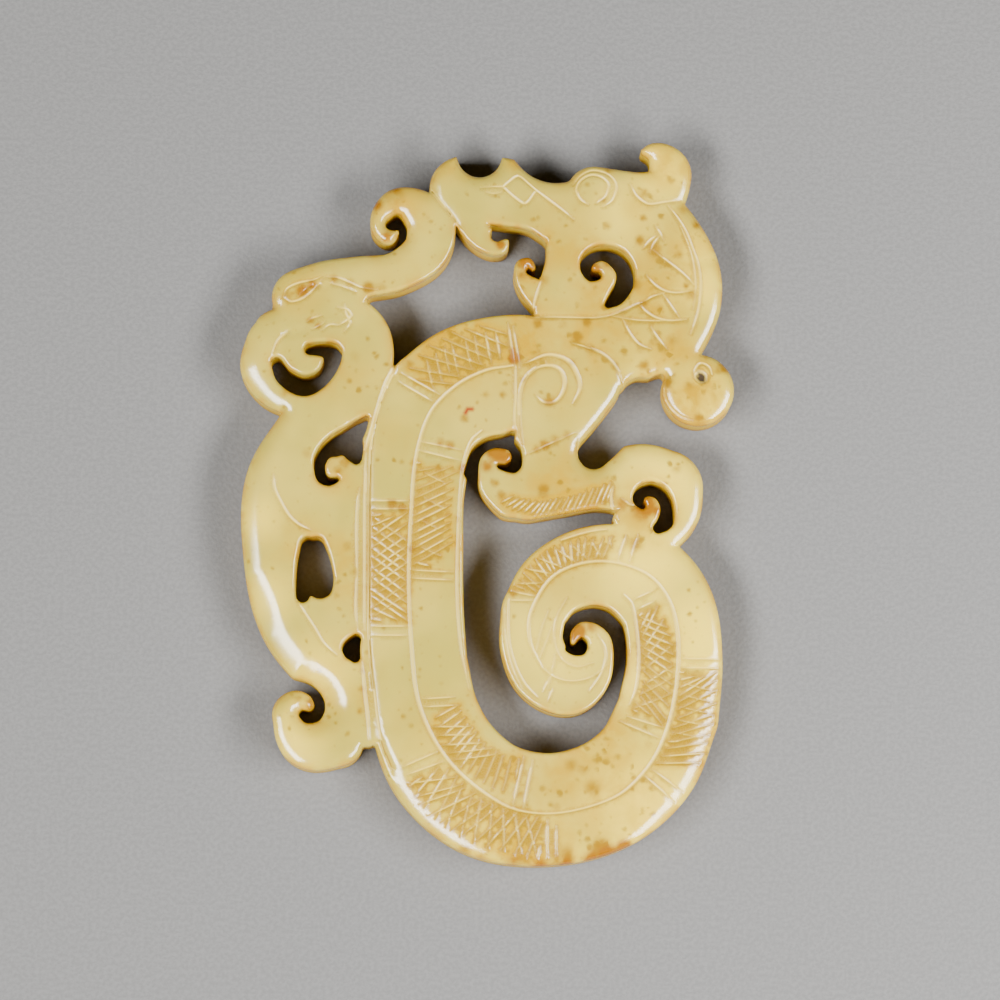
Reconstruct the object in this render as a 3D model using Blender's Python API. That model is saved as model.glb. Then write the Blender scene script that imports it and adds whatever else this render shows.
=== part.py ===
"""A flat openwork jade plaque, carved in one piece: a coiled dragon with a smaller beast on its back.

The design is drawn on a grid of steps, across and down, about a tenth of a millimetre each.
Every form of it is a stroke: a smooth line through a few stations (across, down, half width).
The plan of the stone is the union of the solid strokes less the strokes that are sawn out,
found as the zero line of one distance field. The same field rounds the edges over.
"""

import math

import bmesh
import bpy
import numpy as np
from mathutils.geometry import delaunay_2d_cdt
from mathutils.kdtree import KDTree

# Driving sizes in metres. Everything that is drawn follows the height; the rest are free of it.
PLAQUE_HEIGHT = 0.0758
THICKNESS = 0.0052
EDGE_ROUNDING = 0.00042
RIM_WIDTH = 0.0018
RIM_SLOPE = 0.7
GROOVE_DEPTH = 0.00035

# The drawing's own extent, in its steps
DRAWING_TOP = 138
DRAWING_BOTTOM = 864
DRAWING_LEFT = 230
DRAWING_RIGHT = 745
STEP = PLAQUE_HEIGHT / (DRAWING_BOTTOM - DRAWING_TOP)

# How the outline is found, in steps
SCAN_STEP = 3.0
SPAN_STEP = 4.0
SPAN_REACH = 45.0
FILLET = 2.0
SETTLING_ROUNDS = 3
SETTLING_MOVE = SCAN_STEP / 3
SHORTEST_LOOP = 9

# How finely the solid is faceted, in steps and degrees
TURN_PER_FACET = 13.0
SHORTEST_FACET = 3.2
LONGEST_FACET = 17.0
FINE_GAP = 0.7 * SHORTEST_FACET
RIM_GAP = 1.6 * SHORTEST_FACET
GROOVE_SPACING = 11.0
FILL_SPACING = 19.0
FRONT_FILL_GAP = 0.6 * FILL_SPACING
BACK_FILL_GAP = 0.9 * FILL_SPACING
HEX_ROW = math.sqrt(3) / 2

# Points of the edge ring are dropped where they come nearer to another edge than this share of its inset
RING_SHARE = 0.85
# How far the other points keep from the outline, as shares of the edge rounding
FILL_MARGIN = 1.2
GROOVE_MARGIN = 1.5

NAME = "dragon_plaque"

DRAGON_HEAD = {
    "muzzle": [(462.5, 186.5, 33.5), (500, 189, 35), (540, 198, 33), (575, 212, 40)],
    "cheek": [(580, 225, 34), (575, 262, 30), (572, 290, 34)],
    "mane": [(640, 215, 40), (659, 236, 42), (673, 272, 47), (674, 300, 47), (668, 330, 40),
             (672, 350, 26)],
    "throat": [(608, 232, 30), (606, 262, 28), (602, 296, 34)],
}
DRAGON_BROW = {
    "forehead": [(594, 190, 27), (640, 193, 24), (664, 190, 24)],
    "horn": [(668, 184, 22), (670.5, 168, 21), (664, 154, 14.5), (654, 148, 9), (645, 148, 4)],
}
DRAGON_BODY = {
    "neck": [(650, 338, 36), (600, 350, 44), (555, 365, 48), (510, 372, 57), (470, 384, 60),
             (440, 405, 59)],
    "flank": [(440, 405, 59), (421, 440, 55), (413.5, 490, 51), (411.5, 550, 51.5), (411.5, 610, 52),
              (415, 665, 52)],
    "belly": [(415, 665, 52), (425, 718, 54.5), (447, 764, 58.5), (490, 799, 58.5), (548, 808.5, 55.5),
              (603, 795, 55), (643, 763, 53.5), (666, 715, 50.5)],
    "rump": [(666, 715, 50.5), (673, 662, 47.5), (667, 611, 47), (646, 581, 46.5), (618, 568, 42.5),
             (584, 568, 38.5), (552, 584, 35), (533, 612, 32)],
    "tail scroll": [(533, 612, 32), (531, 644, 31), (543, 672, 32), (566, 685, 30.5), (584, 676, 25),
                    (597, 658, 15), (598, 643, 12), (591, 633.5, 9.5), (582, 630.5, 7.5), (575, 635, 5.5),
                    (573, 642, 3.5)],
    "haunch": [(572, 380, 49), (560, 412, 44), (548, 445, 34), (545, 470, 36)],
    "foreleg": [(527, 490, 31), (560, 487, 28), (597, 482, 27.5), (640, 480, 36), (664, 488, 38)],
    "heel": [(664, 488, 38), (665, 508, 35), (662, 524, 27)],
    "paw back": [(624, 520, 12), (645, 520, 14)],
}
DRAGON_CURLS = {
    "crest ball": [(697.5, 390, 36)],
    "lip": [(468, 216, 15), (477, 232, 13.5), (490, 243, 11), (500.5, 246, 7.5), (506, 241, 2.5)],
    "beard": [(552, 304, 18), (531, 289, 12), (520, 276, 6.5), (521, 265, 6), (528, 262, 4.5),
              (532, 267, 3)],
    "beard root": [(546, 310, 13)],
    "paw curl": [(511, 497, 22), (494.5, 486, 16), (488, 474, 10), (488, 463, 8.5), (494, 457, 7.5),
                 (503, 457.5, 7.5)],
}
BEAST = {
    "crest": [(304, 293, 26.5), (330, 290, 31), (360, 277, 22), (395, 271, 20), (425, 250, 23),
              (430, 222, 24), (414, 204, 18), (395, 200, 13.5), (382, 212, 11), (381, 227, 10.5),
              (388, 236, 7.5), (396, 231, 2.5)],
    "head": [(300, 297, 28.5), (318, 322, 40), (350, 345, 42), (340, 390, 45), (324, 420, 42)],
    "jaw": [(285, 347, 40), (265, 368, 24.5), (274, 390, 18), (300, 405, 14)],
    "back": [(324, 444, 52), (300, 490, 55), (299.5, 550, 55.5), (310, 610, 53.5), (331, 660, 40),
             (345, 700, 24), (340, 735, 26)],
    "belly join": [(350, 480, 20), (350, 600, 20), (362, 690, 14), (368, 735, 12)],
    "foot": [(339, 741, 25.5), (312, 738, 31), (298.5, 715, 24.5)],
}
SAWN_BEFORE_BROW = {
    "nose notch": [(479, 152, 22.5)],
    "brow notch": [(556, 132, 48)],
}
SAWN_BEFORE_CURLS = {
    "haunch notch": [(640, 396, 19), (627, 413, 17), (606, 440, 17), (593, 453.5, 16)],
    "paw gap": [(470.5, 474, 7), (478, 456, 8.5), (486, 448, 8.5), (496, 443.5, 7.5), (506, 444, 7),
                (514, 450, 6), (516.5, 459.5, 5.5), (514.5, 467, 6), (508, 470, 5.5), (501.5, 467.5, 4.5),
                (499, 463, 2.5)],
}
SAWN_LAST = {
    "cheek hook": [(597, 275, 4.5), (591, 275.5, 5.5), (585.5, 269, 5.5), (587.5, 259.5, 7), (595, 253.5, 8),
                   (605, 252, 8.5), (617, 258, 10), (624.5, 270, 9.5), (624, 284, 9), (616, 297, 8),
                   (608, 304, 4)],
    "heel hook": [(641, 507, 3.5), (637, 501, 5.5), (640.5, 493, 6.5), (650, 490, 7.5), (659, 494, 7.5),
                  (664.5, 503, 7), (666, 513, 7), (664, 523, 8), (657, 529, 5.5)],
    "beast mouth": [(310, 350, 6), (322, 350, 7.5), (333, 354, 9), (325, 376, 8), (305, 387, 10.5),
                    (285, 378, 9), (277, 364, 6)],
    "beast shoulder": [(337, 481, 3), (330, 483, 4.5), (323, 480, 5.5), (320, 471, 5.5), (321, 461, 6.5),
                       (327, 452, 8), (338, 446, 11.5), (350, 439, 11.5), (359, 429, 8), (366, 420, 3)],
    "shoulder foot": [(352, 440, 10), (352.5, 450, 11), (356.5, 460.5, 5.5)],
    "beast flank": [(317, 546, 8), (320, 562, 11), (321.5, 580, 13), (321, 587, 13)],
    "flank front": [(309, 546, 8), (306.5, 565, 9), (305, 588, 8.5), (304, 597, 7)],
    "beast thigh": [(357, 640, 5), (352, 650, 9), (356, 658, 5.5)],
    "tail eye": [(567, 650, 3), (573, 651, 5), (579, 649, 7), (581, 645, 5.5)],
    "lip eye": [(496.5, 234.5, 6.5), (500.5, 231, 6)],
    "crest eye": [(390.5, 222.5, 6), (396, 217.5, 5.5)],
    "foot scroll": [(289, 682, 5), (307, 687, 5), (317, 695, 5), (321, 706, 5.5), (317, 715, 6.5),
                    (309, 717, 6), (304.5, 714, 4.5)],
}

PLAN_LAYERS = [
    (DRAGON_HEAD, True),
    (SAWN_BEFORE_BROW, False),
    (DRAGON_BROW, True),
    (DRAGON_BODY, True),
    (SAWN_BEFORE_CURLS, False),
    (DRAGON_CURLS, True),
    (BEAST, True),
    (SAWN_LAST, False),
]

# The broad grooves that part one form from the next: (across, down, half width)
GROOVES = {
    "body middle": [(512, 367, 4), (485, 372, 4), (455, 388, 4), (430, 415, 4), (416, 460, 4),
                    (411, 520, 4), (409, 580, 4), (412, 650, 4), (421, 710, 4), (450, 763, 4),
                    (500, 803, 4), (540, 813, 4), (585, 807, 4), (625, 789, 4), (658, 747, 4),
                    (675, 680, 4), (672, 615, 4), (648, 578, 4), (600, 563, 4), (555, 576, 4),
                    (531, 612, 4), (530, 645, 4), (555, 677, 4)],
    "body and beast": [(398, 361, 6), (383, 395, 6), (372, 430, 6), (362, 470, 6), (360, 540, 6),
                       (360, 620, 6), (364, 690, 6), (368, 738, 6)],
    "inner rim": [(487, 425, 3.5), (467, 445, 3.5), (456, 490, 3.5), (452, 560, 3.5), (452, 620, 3.5),
                  (457, 660, 3.5), (466, 692, 3.5)],
    "haunch": [(575, 345, 5), (600, 354, 5), (614, 368, 5), (621, 384, 5)],
    "haunch front": [(514, 368, 4.5), (514, 400, 4.5), (514, 430, 4.5)],
    "haunch spiral": [(520, 395, 4), (526, 380, 4), (538, 371, 4), (551, 370, 4), (562, 378, 4),
                      (564, 392, 4), (556, 402, 4), (544, 402, 4)],
    "chin": [(533, 316, 5), (570, 318, 5), (605, 317, 5), (637, 304, 5)],
    "muzzle": [(430, 188, 5), (440, 202, 5), (450, 214, 5), (457, 224, 5)],
    "horn": [(628, 182, 4), (636, 195, 4), (650, 203, 4), (666, 202, 4), (680, 199, 4)],
    "mane": [(668, 205, 4), (680, 222, 4), (692, 248, 4), (699, 278, 4), (697, 312, 4), (690, 335, 4)],
    "ear": [(571, 182, 4), (580, 173, 4), (592, 170, 4), (605, 173, 4), (614, 184, 4), (613, 197, 4),
            (603, 205, 4), (590, 205, 4), (579, 199, 4)],
    "eye upper": [(503, 187, 3.5), (518, 176, 3.5), (535, 190, 3.5), (552, 203, 3.5)],
    "eye lower": [(503, 187, 3.5), (515, 196, 3.5), (525, 202, 3.5)],
    "ball": [(697, 362, 4), (706, 364, 4), (713, 372, 4), (712, 383, 4), (702, 388, 4)],
    "beast thigh": [(274, 478, 4), (278, 497, 4), (290, 518, 4), (308, 531, 4)],
    "beast leg": [(298, 606, 4), (310, 624, 4), (325, 645, 4), (338, 657, 4)],
    "beast ear": [(284, 300, 4), (286, 290, 4), (297, 287, 4), (318, 284, 4), (345, 288, 4),
                  (366, 296, 4)],
    "beast jaw": [(285, 335, 4), (276, 347, 4)],
}

# Sides that slope away over a broader strip: a line along the side, and how much broader, in steps
BROAD_SIDES = {
    "beast back": ([(250, 350, 0), (246, 480, 0), (252, 590, 0)], 11),
    "beast haunch": ([(266, 622, 0), (298, 668, 0), (330, 705, 0)], 20),
    "belly front": ([(396, 795, 0), (440, 838, 0)], 8),
    "belly back": ([(715, 700, 0), (675, 812, 0)], 8),
}
BROAD_REACH = 60

FAR = 1e6
TINY = 1e-6
JADE_COLOUR = (0.62, 0.58, 0.36, 1.0)
JADE_ROUGHNESS = 0.25


def smooth_line(stations, spacing):
    """Points with their widths along a smooth curve through the stations."""
    knots = np.array(stations, float)
    if len(knots) == 1:
        return np.vstack([knots, knots])
    chords = np.diff(knots, axis=0)
    lengths = np.linalg.norm(chords[:, :2], axis=1)
    slopes = np.vstack([
        chords[:1] / lengths[0],
        (chords[:-1] + chords[1:]) / (lengths[:-1] + lengths[1:])[:, None],
        chords[-1:] / lengths[-1],
    ])
    line = []
    for start, end, leave, arrive, length in zip(knots[:-1], knots[1:], slopes[:-1], slopes[1:], lengths):
        for share in np.arange(0, 1, spacing / max(length, 2 * spacing)):
            line.append(
                start * (1 + 2 * share) * (1 - share) ** 2
                + leave * length * share * (1 - share) ** 2
                + end * share ** 2 * (3 - 2 * share)
                + arrive * length * share ** 2 * (share - 1)
            )
    line.append(knots[-1])
    return np.array(line)


def stroke_distance(points, line):
    """How far every point is from the edge of a stroke, below zero inside it."""
    distance = np.full(len(points), FAR)
    reach = line[:, 2].max() + SPAN_REACH
    near = np.all((points > line[:, :2].min(0) - reach) & (points < line[:, :2].max(0) + reach), axis=1)
    close = points[near]
    nearest = np.full(len(close), FAR)
    for start, end in zip(line[:-1], line[1:]):
        along = end[:2] - start[:2]
        share = np.clip((close - start[:2]) @ along / max(along @ along, TINY), 0, 1)
        across = np.linalg.norm(close - start[:2] - share[:, None] * along, axis=1)
        nearest = np.minimum(nearest, across - start[2] - share * (end[2] - start[2]))
    distance[near] = nearest
    return distance


def strokes_distance(points, strokes):
    """The least of the distances to a group of strokes."""
    distance = np.full(len(points), FAR)
    for stations in strokes.values():
        distance = np.minimum(distance, stroke_distance(points, smooth_line(stations, SPAN_STEP)))
    return distance


def blend_lower(first, second, fillet):
    """The lower of two distances, with a fillet where they meet."""
    share = np.clip(0.5 + 0.5 * (second - first) / fillet, 0, 1)
    return second * (1 - share) + first * share - fillet * share * (1 - share)


def plan_distance(points):
    """How far every point is from the plaque's outline, below zero in the stone."""
    distance = np.full(len(points), FAR)
    for strokes, is_solid in PLAN_LAYERS:
        layer = strokes_distance(points, strokes)
        if is_solid:
            distance = blend_lower(distance, layer, FILLET)
        else:
            distance = -blend_lower(-distance, layer, FILLET)
    return distance


def slope_of(distance_of, points):
    """The direction in which a distance grows, one unit long."""
    reach = np.array([0.5, 0.0])
    across = distance_of(points + reach) - distance_of(points - reach)
    down = distance_of(points + reach[::-1]) - distance_of(points - reach[::-1])
    slope = np.column_stack([across, down])
    return slope / np.maximum(np.linalg.norm(slope, axis=1), TINY)[:, None]


def outline_loops():
    """Closed loops of points on the outline, found cell by cell on a grid."""
    columns = np.arange(DRAWING_LEFT, DRAWING_RIGHT, SCAN_STEP)
    rows = np.arange(DRAWING_TOP - 2 * SCAN_STEP, DRAWING_BOTTOM + 3 * SCAN_STEP, SCAN_STEP)
    grid = np.stack(np.meshgrid(columns, rows, indexing="ij"), axis=-1)
    depth = plan_distance(grid.reshape(-1, 2)).reshape(grid.shape[:2])
    inside = depth < 0
    corner_count = inside[:-1, :-1] * 1 + inside[1:, :-1] + inside[1:, 1:] + inside[:-1, 1:]
    following = {}
    for column, row in np.argwhere((corner_count > 0) & (corner_count < 4)).tolist():
        corners = [(column, row), (column + 1, row), (column + 1, row + 1), (column, row + 1)]
        sides = list(zip(corners, corners[1:] + corners[:1]))
        leaving = [side for side in sides if inside[side[0]] and not inside[side[1]]]
        entering = [side for side in sides if not inside[side[0]] and inside[side[1]]]
        for out_side, in_side in zip(leaving, entering):
            following[frozenset(out_side)] = frozenset(in_side)
    loops = []
    while following:
        start, side = following.popitem()
        loop = [crossing(start, grid, depth)]
        while side in following:
            loop.append(crossing(side, grid, depth))
            side = following.pop(side)
        loops.append(settle_on_outline(np.array(loop)))
    return [loop for loop in loops if len(loop) >= SHORTEST_LOOP]


def crossing(side, grid, depth):
    """Where the outline crosses one side of a grid cell."""
    first, second = sorted(side)
    share = depth[first] / (depth[first] - depth[second])
    return grid[first] * (1 - share) + grid[second] * share


def settle_on_outline(points):
    """Move points straight towards the outline until they lie on it."""
    for _ in range(SETTLING_ROUNDS):
        move = np.clip(plan_distance(points), -SETTLING_MOVE, SETTLING_MOVE)
        points = points - move[:, None] * slope_of(plan_distance, points)
    return points


def facet_loop(loop):
    """Keep only the points that a loop's shape needs: many on a tight turn, few on a long side."""
    ahead = np.roll(loop, -1, axis=0) - loop
    heading = np.unwrap(np.arctan2(ahead[:, 1], ahead[:, 0]))
    turns = np.abs(np.diff(heading, append=heading[-1]))
    lengths = np.linalg.norm(ahead, axis=1)
    kept = [loop[0]]
    turned = 0.0
    gone = 0.0
    for point, turn, length in zip(loop[1:], turns[1:], lengths[:-1]):
        turned += turn
        gone += length
        enough = turned > math.radians(TURN_PER_FACET) and gone > SHORTEST_FACET
        if enough or gone > LONGEST_FACET:
            kept.append(point)
            turned = 0.0
            gone = 0.0
    return np.array(kept)


def nearness(loops):
    """A function that gives every point's distance to the nearest point of the loops."""
    places = np.vstack(loops)
    tree = KDTree(len(places))
    for index, (across, down) in enumerate(places):
        tree.insert((across, down, 0), index)
    tree.balance()

    def distance_of(points):
        return np.array([tree.find((across, down, 0))[2] for across, down in points])

    return distance_of


def inset_points(points, inset, distance_of):
    """Points moved inwards from the outline, where the stone is wide enough for them."""
    moved = points - inset * slope_of(plan_distance, points)
    return moved[distance_of(moved) > RING_SHARE * inset]


def groove_points(spacing):
    """Rows of points down the middle and along both edges of every groove."""
    found = []
    for stations in GROOVES.values():
        line = smooth_line(stations, spacing)
        ahead = np.gradient(line[:, :2], axis=0)
        ahead /= np.linalg.norm(ahead, axis=1)[:, None]
        sideways = np.column_stack([-ahead[:, 1], ahead[:, 0]]) * line[:, 2:3]
        for row in (-1, 0, 1):
            found.append(line[:, :2] + sideways * row)
    return np.vstack(found)


def clear_of_edge(points, margin, distance_of):
    """The points that lie in the stone and at least this far from its outline."""
    inside = points[plan_distance(points) < 0]
    return inside[distance_of(inside) > margin]


def fill_points(spacing):
    """Evenly spaced points over the whole drawing, in staggered rows."""
    rows = np.arange(DRAWING_TOP, DRAWING_BOTTOM, spacing * HEX_ROW)
    found = []
    for index, row in enumerate(rows):
        across = np.arange(DRAWING_LEFT + (index % 2) * spacing / 2, DRAWING_RIGHT, spacing)
        found.append(np.column_stack([across, np.full(len(across), row)]))
    return np.vstack(found)


def spread_out(groups):
    """Join groups of points, the first ones first, leaving out any that are too near one already kept."""
    cell = max(gap for _, gap in groups)
    kept = []
    cells = {}
    for points, gap in groups:
        for point in points:
            column, row = int(point[0] // cell), int(point[1] // cell)
            nearby = [
                kept[index]
                for beside in (-1, 0, 1) for above in (-1, 0, 1)
                for index in cells.get((column + beside, row + above), ())
            ]
            if all(math.dist(point, other) >= gap for other in nearby):
                cells.setdefault((column, row), []).append(len(kept))
                kept.append(point)
    return np.array(kept)


def triangulate(loops, inner):
    """Triangles over the stone's plan that follow its outline, as points and rows of indices."""
    outline = np.vstack(loops)
    edges = []
    start = 0
    for loop in loops:
        count = len(loop)
        edges += [(start + index, start + (index + 1) % count) for index in range(count)]
        start += count
    points = np.vstack([outline, inner])
    found = delaunay_2d_cdt([tuple(point) for point in points], edges, [], 0, TINY, False)
    corners = np.array([tuple(corner) for corner in found[0]])
    triangles = np.array(found[2])
    centres = corners[triangles].mean(axis=1)
    return corners, triangles[is_within(loops, centres)]


def is_within(loops, points):
    """Which points lie inside an odd number of the loops."""
    within = np.zeros(len(points), bool)
    for loop in loops:
        for start, end in zip(loop, np.roll(loop, -1, axis=0)):
            spans = (start[1] > points[:, 1]) != (end[1] > points[:, 1])
            at = points[spans]
            across = start[0] + (end[0] - start[0]) * (at[:, 1] - start[1]) / (end[1] - start[1])
            within[spans] ^= at[:, 0] < across
    return within


def edge_drop(inset):
    """How far the rounded edge lies below the flat of a face, at this distance in from the outline."""
    share = np.clip(inset * STEP / EDGE_ROUNDING, 0, 1)
    return EDGE_ROUNDING * (1 - np.sqrt(1 - (1 - share) ** 2))


def rim_width(points):
    """How wide the sloping rim is at every point, in steps."""
    width = np.full(len(points), RIM_WIDTH / STEP)
    for stations, extra in BROAD_SIDES.values():
        beside = stroke_distance(points, smooth_line(stations, SPAN_STEP))
        share = np.clip(1 - beside / BROAD_REACH, 0, 1)
        width += extra * share ** 2 * (3 - 2 * share)
    return width


def rim_drop(inset, width):
    """How far the front falls away towards the plaque's outer side."""
    share = np.clip(inset / width, 0, 1)
    return RIM_SLOPE * width * STEP / 2 * (1 - share) ** 2


def groove_drop(points):
    """How deep the grooves are cut at every point."""
    deepest = np.zeros(len(points))
    for stations in GROOVES.values():
        line = smooth_line(stations, SPAN_STEP)
        half_width = line[:, 2].max()
        beside = stroke_distance(points, line * (1, 1, 0))
        deepest = np.maximum(deepest, GROOVE_DEPTH * np.clip(1 - beside / half_width, 0, 1))
    return deepest


def solid_from_faces(front, back, loops, front_heights, back_heights):
    """One closed mesh: the carved front, the plain back and the side walls between their outlines."""
    solid = bmesh.new()
    sheets = []
    for (points, _), heights in ((front, front_heights), (back, back_heights)):
        sheets.append([
            solid.verts.new((across * STEP, -down * STEP, height))
            for (across, down), height in zip(points, heights)
        ])
    top, bottom = sheets
    for corners in front[1]:
        solid.faces.new([top[corner] for corner in corners])
    for corners in back[1]:
        solid.faces.new([bottom[corner] for corner in corners])
    start = 0
    for loop in loops:
        around = range(start, start + len(loop))
        for here, there in zip(around, list(around)[1:] + [start]):
            solid.faces.new([top[here], top[there], bottom[there], bottom[here]])
        start += len(loop)
    bmesh.ops.recalc_face_normals(solid, faces=solid.faces)
    return solid


def centre_on_origin(solid):
    """Put the middle of the solid's length and width over the origin."""
    places = np.array([vertex.co for vertex in solid.verts])
    middle = (places.max(axis=0) + places.min(axis=0)) / 2
    bmesh.ops.translate(solid, verts=solid.verts, vec=(-middle[0], -middle[1], 0))


def jade_material():
    """Pale green to cream polished jade."""
    material = bpy.data.materials.new("jade")
    material.use_nodes = True
    shader = material.node_tree.nodes["Principled BSDF"]
    shader.inputs["Base Color"].default_value = JADE_COLOUR
    shader.inputs["Roughness"].default_value = JADE_ROUGHNESS
    shader.inputs["Metallic"].default_value = 0.0
    return material


def make_plaque():
    """The whole plaque as one object."""
    fine_loops = outline_loops()
    loops = [facet_loop(loop) for loop in fine_loops]
    outline = np.vstack(loops)
    edge_distance = nearness(fine_loops)
    rim_distance = nearness([max(fine_loops, key=len)])
    rounding = EDGE_ROUNDING / STEP
    edge_ring = inset_points(outline, rounding, edge_distance)
    rim_ring = inset_points(outline, RIM_WIDTH / STEP, edge_distance)
    fill = clear_of_edge(fill_points(FILL_SPACING), rounding * FILL_MARGIN, edge_distance)
    grooves = clear_of_edge(groove_points(GROOVE_SPACING), rounding * GROOVE_MARGIN, edge_distance)
    front_inner = spread_out([
        (edge_ring, FINE_GAP),
        (grooves, FINE_GAP),
        (rim_ring, RIM_GAP),
        (fill, FRONT_FILL_GAP),
    ])
    back_inner = spread_out([(edge_ring, FINE_GAP), (fill, BACK_FILL_GAP)])
    front = triangulate(loops, front_inner)
    back = triangulate(loops, back_inner)
    places = front[0]
    slopes = rim_drop(rim_distance(places), rim_width(places))
    front_heights = THICKNESS - edge_drop(edge_distance(places)) - slopes - groove_drop(places)
    back_heights = edge_drop(edge_distance(back[0]))
    solid = solid_from_faces(front, back, loops, front_heights, back_heights)
    centre_on_origin(solid)
    mesh = bpy.data.meshes.new(NAME)
    solid.to_mesh(mesh)
    solid.free()
    mesh.materials.append(jade_material())
    plaque = bpy.data.objects.new(NAME, mesh)
    collection = bpy.data.collections.new("jade plaque")
    bpy.context.scene.collection.children.link(collection)
    collection.objects.link(plaque)
    return plaque


def clear_scene():
    """Remove every object the scene starts with."""
    for item in list(bpy.data.objects):
        bpy.data.objects.remove(item)


def main():
    """Build the plaque in an empty scene."""
    clear_scene()
    make_plaque()


if __name__ == "__main__":
    main()
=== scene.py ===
"""The jade plaque as it looks: fine carving, mottled and stained jade, a pale floor and soft light.

The plan and the broad relief are drawn as the solid's are, on a grid of steps, across and down, of about a
tenth of a millimetre. A stroke is a smooth line through a few stations (across, down, half width). The real
size of a step comes from the solid. On top of that come the finely cut lines and the hatched panels.
"""

import math

import bmesh
import bpy
import numpy as np
from bpy.props import FloatProperty, FloatVectorProperty, PointerProperty
from mathutils import Matrix, Vector
from mathutils.geometry import delaunay_2d_cdt
from mathutils.kdtree import KDTree


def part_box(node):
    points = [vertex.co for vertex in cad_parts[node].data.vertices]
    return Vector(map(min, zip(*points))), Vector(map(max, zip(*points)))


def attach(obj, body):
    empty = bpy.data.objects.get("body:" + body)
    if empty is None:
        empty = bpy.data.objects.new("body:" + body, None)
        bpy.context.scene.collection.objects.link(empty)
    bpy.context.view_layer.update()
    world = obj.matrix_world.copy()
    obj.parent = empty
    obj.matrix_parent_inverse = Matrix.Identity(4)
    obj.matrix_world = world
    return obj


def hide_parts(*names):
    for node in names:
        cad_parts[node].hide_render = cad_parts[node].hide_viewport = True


bl_info = {
    "name": "Jade dragon plaque",
    "version": (1, 0, 0),
    "blender": (4, 5, 0),
    "location": "View3D > Sidebar > Jade plaque",
    "description": "Carves an openwork jade plaque with its stains, and lights it on a pale floor",
    "category": "Object",
}

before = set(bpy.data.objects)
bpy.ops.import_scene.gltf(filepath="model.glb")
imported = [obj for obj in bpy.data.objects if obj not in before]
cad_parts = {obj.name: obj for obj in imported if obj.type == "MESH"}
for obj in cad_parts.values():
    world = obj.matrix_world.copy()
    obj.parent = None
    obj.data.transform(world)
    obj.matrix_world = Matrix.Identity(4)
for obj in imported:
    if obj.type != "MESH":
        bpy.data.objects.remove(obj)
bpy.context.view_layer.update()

NODE = "dragon_plaque"
BODY = "root"
PIECE = "jade_plaque"
MM = 0.001

# The drawing's own extent, in its steps
DRAWING_TOP = 138
DRAWING_BOTTOM = 864
DRAWING_LEFT = 230
DRAWING_RIGHT = 745

# How the outline is found, in steps
SCAN_STEP = 2.0
SPAN_STEP = 3.0
SPAN_REACH = 45.0
FILLET = 2.0
SLOPE_REACH = 0.5
SETTLING_ROUNDS = 3
SETTLING_MOVE = SCAN_STEP / 3
SHORTEST_LOOP = 9

# How finely the surface is meshed, in steps and degrees
TURN_PER_FACET = 7.0
SHORTEST_FACET = 1.1
LONGEST_FACET = 4.0
FINE_GAP = 0.55
RING_GAP = 1.0
EDGE_RINGS = (0.12, 0.3, 0.55, 0.85, 1.1)
SLOPE_RINGS = (7.0, 10.0, 13.5, 17.5)
RING_SHARE = 0.85
CUT_SPACING = 2.4
CUT_ROWS = (-1.25, -0.9, -0.45, 0.0, 0.45, 0.9, 1.25)
FRONT_FILL = 4.2
BACK_FILL = 9.0
FILL_SHARE = 0.6
EDGE_MARGIN = 0.6
WALL_ROWS = 3
WAVE_SIZE = 37
CUT_REACH = 3.0
HEX_ROW = math.sqrt(3) / 2
FAR = 1e6
TINY = 1e-6

DRAGON_HEAD = {
    "muzzle": [(462.5, 186.5, 33.5), (500, 189, 35), (540, 198, 33), (575, 212, 40)],
    "cheek": [(580, 225, 34), (575, 262, 30), (572, 290, 34)],
    "mane": [(640, 215, 40), (659, 236, 42), (673, 272, 47), (674, 300, 47), (668, 330, 40),
             (672, 350, 26)],
    "throat": [(608, 232, 30), (606, 262, 28), (602, 296, 34)],
}
DRAGON_BROW = {
    "forehead": [(594, 190, 27), (640, 193, 24), (664, 190, 24)],
    "horn": [(668, 184, 22), (670.5, 168, 21), (664, 154, 14.5), (654, 148, 9), (645, 148, 4)],
}
DRAGON_BODY = {
    "neck": [(650, 338, 36), (600, 350, 44), (555, 365, 48), (510, 372, 57), (470, 384, 60),
             (440, 405, 59)],
    "flank": [(440, 405, 59), (421, 440, 55), (413.5, 490, 51), (411.5, 550, 51.5), (411.5, 610, 52),
              (415, 665, 52)],
    "belly": [(415, 665, 52), (425, 718, 54.5), (447, 764, 58.5), (490, 799, 58.5), (548, 808.5, 55.5),
              (603, 795, 55), (643, 763, 53.5), (666, 715, 50.5)],
    "rump": [(666, 715, 50.5), (673, 662, 47.5), (667, 611, 47), (646, 581, 46.5), (618, 568, 42.5),
             (584, 568, 38.5), (552, 584, 35), (533, 612, 32)],
    "tail scroll": [(533, 612, 32), (531, 644, 31), (543, 672, 32), (566, 685, 30.5), (584, 676, 25),
                    (597, 658, 15), (598, 643, 12), (591, 633.5, 9.5), (582, 630.5, 7.5), (575, 635, 5.5),
                    (573, 642, 3.5)],
    "haunch": [(572, 380, 49), (560, 412, 44), (548, 445, 34), (545, 470, 36)],
    "foreleg": [(527, 490, 31), (560, 487, 28), (597, 482, 27.5), (640, 480, 36), (664, 488, 38)],
    "heel": [(664, 488, 38), (665, 508, 35), (662, 524, 27)],
    "paw back": [(624, 520, 12), (645, 520, 14)],
}
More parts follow.
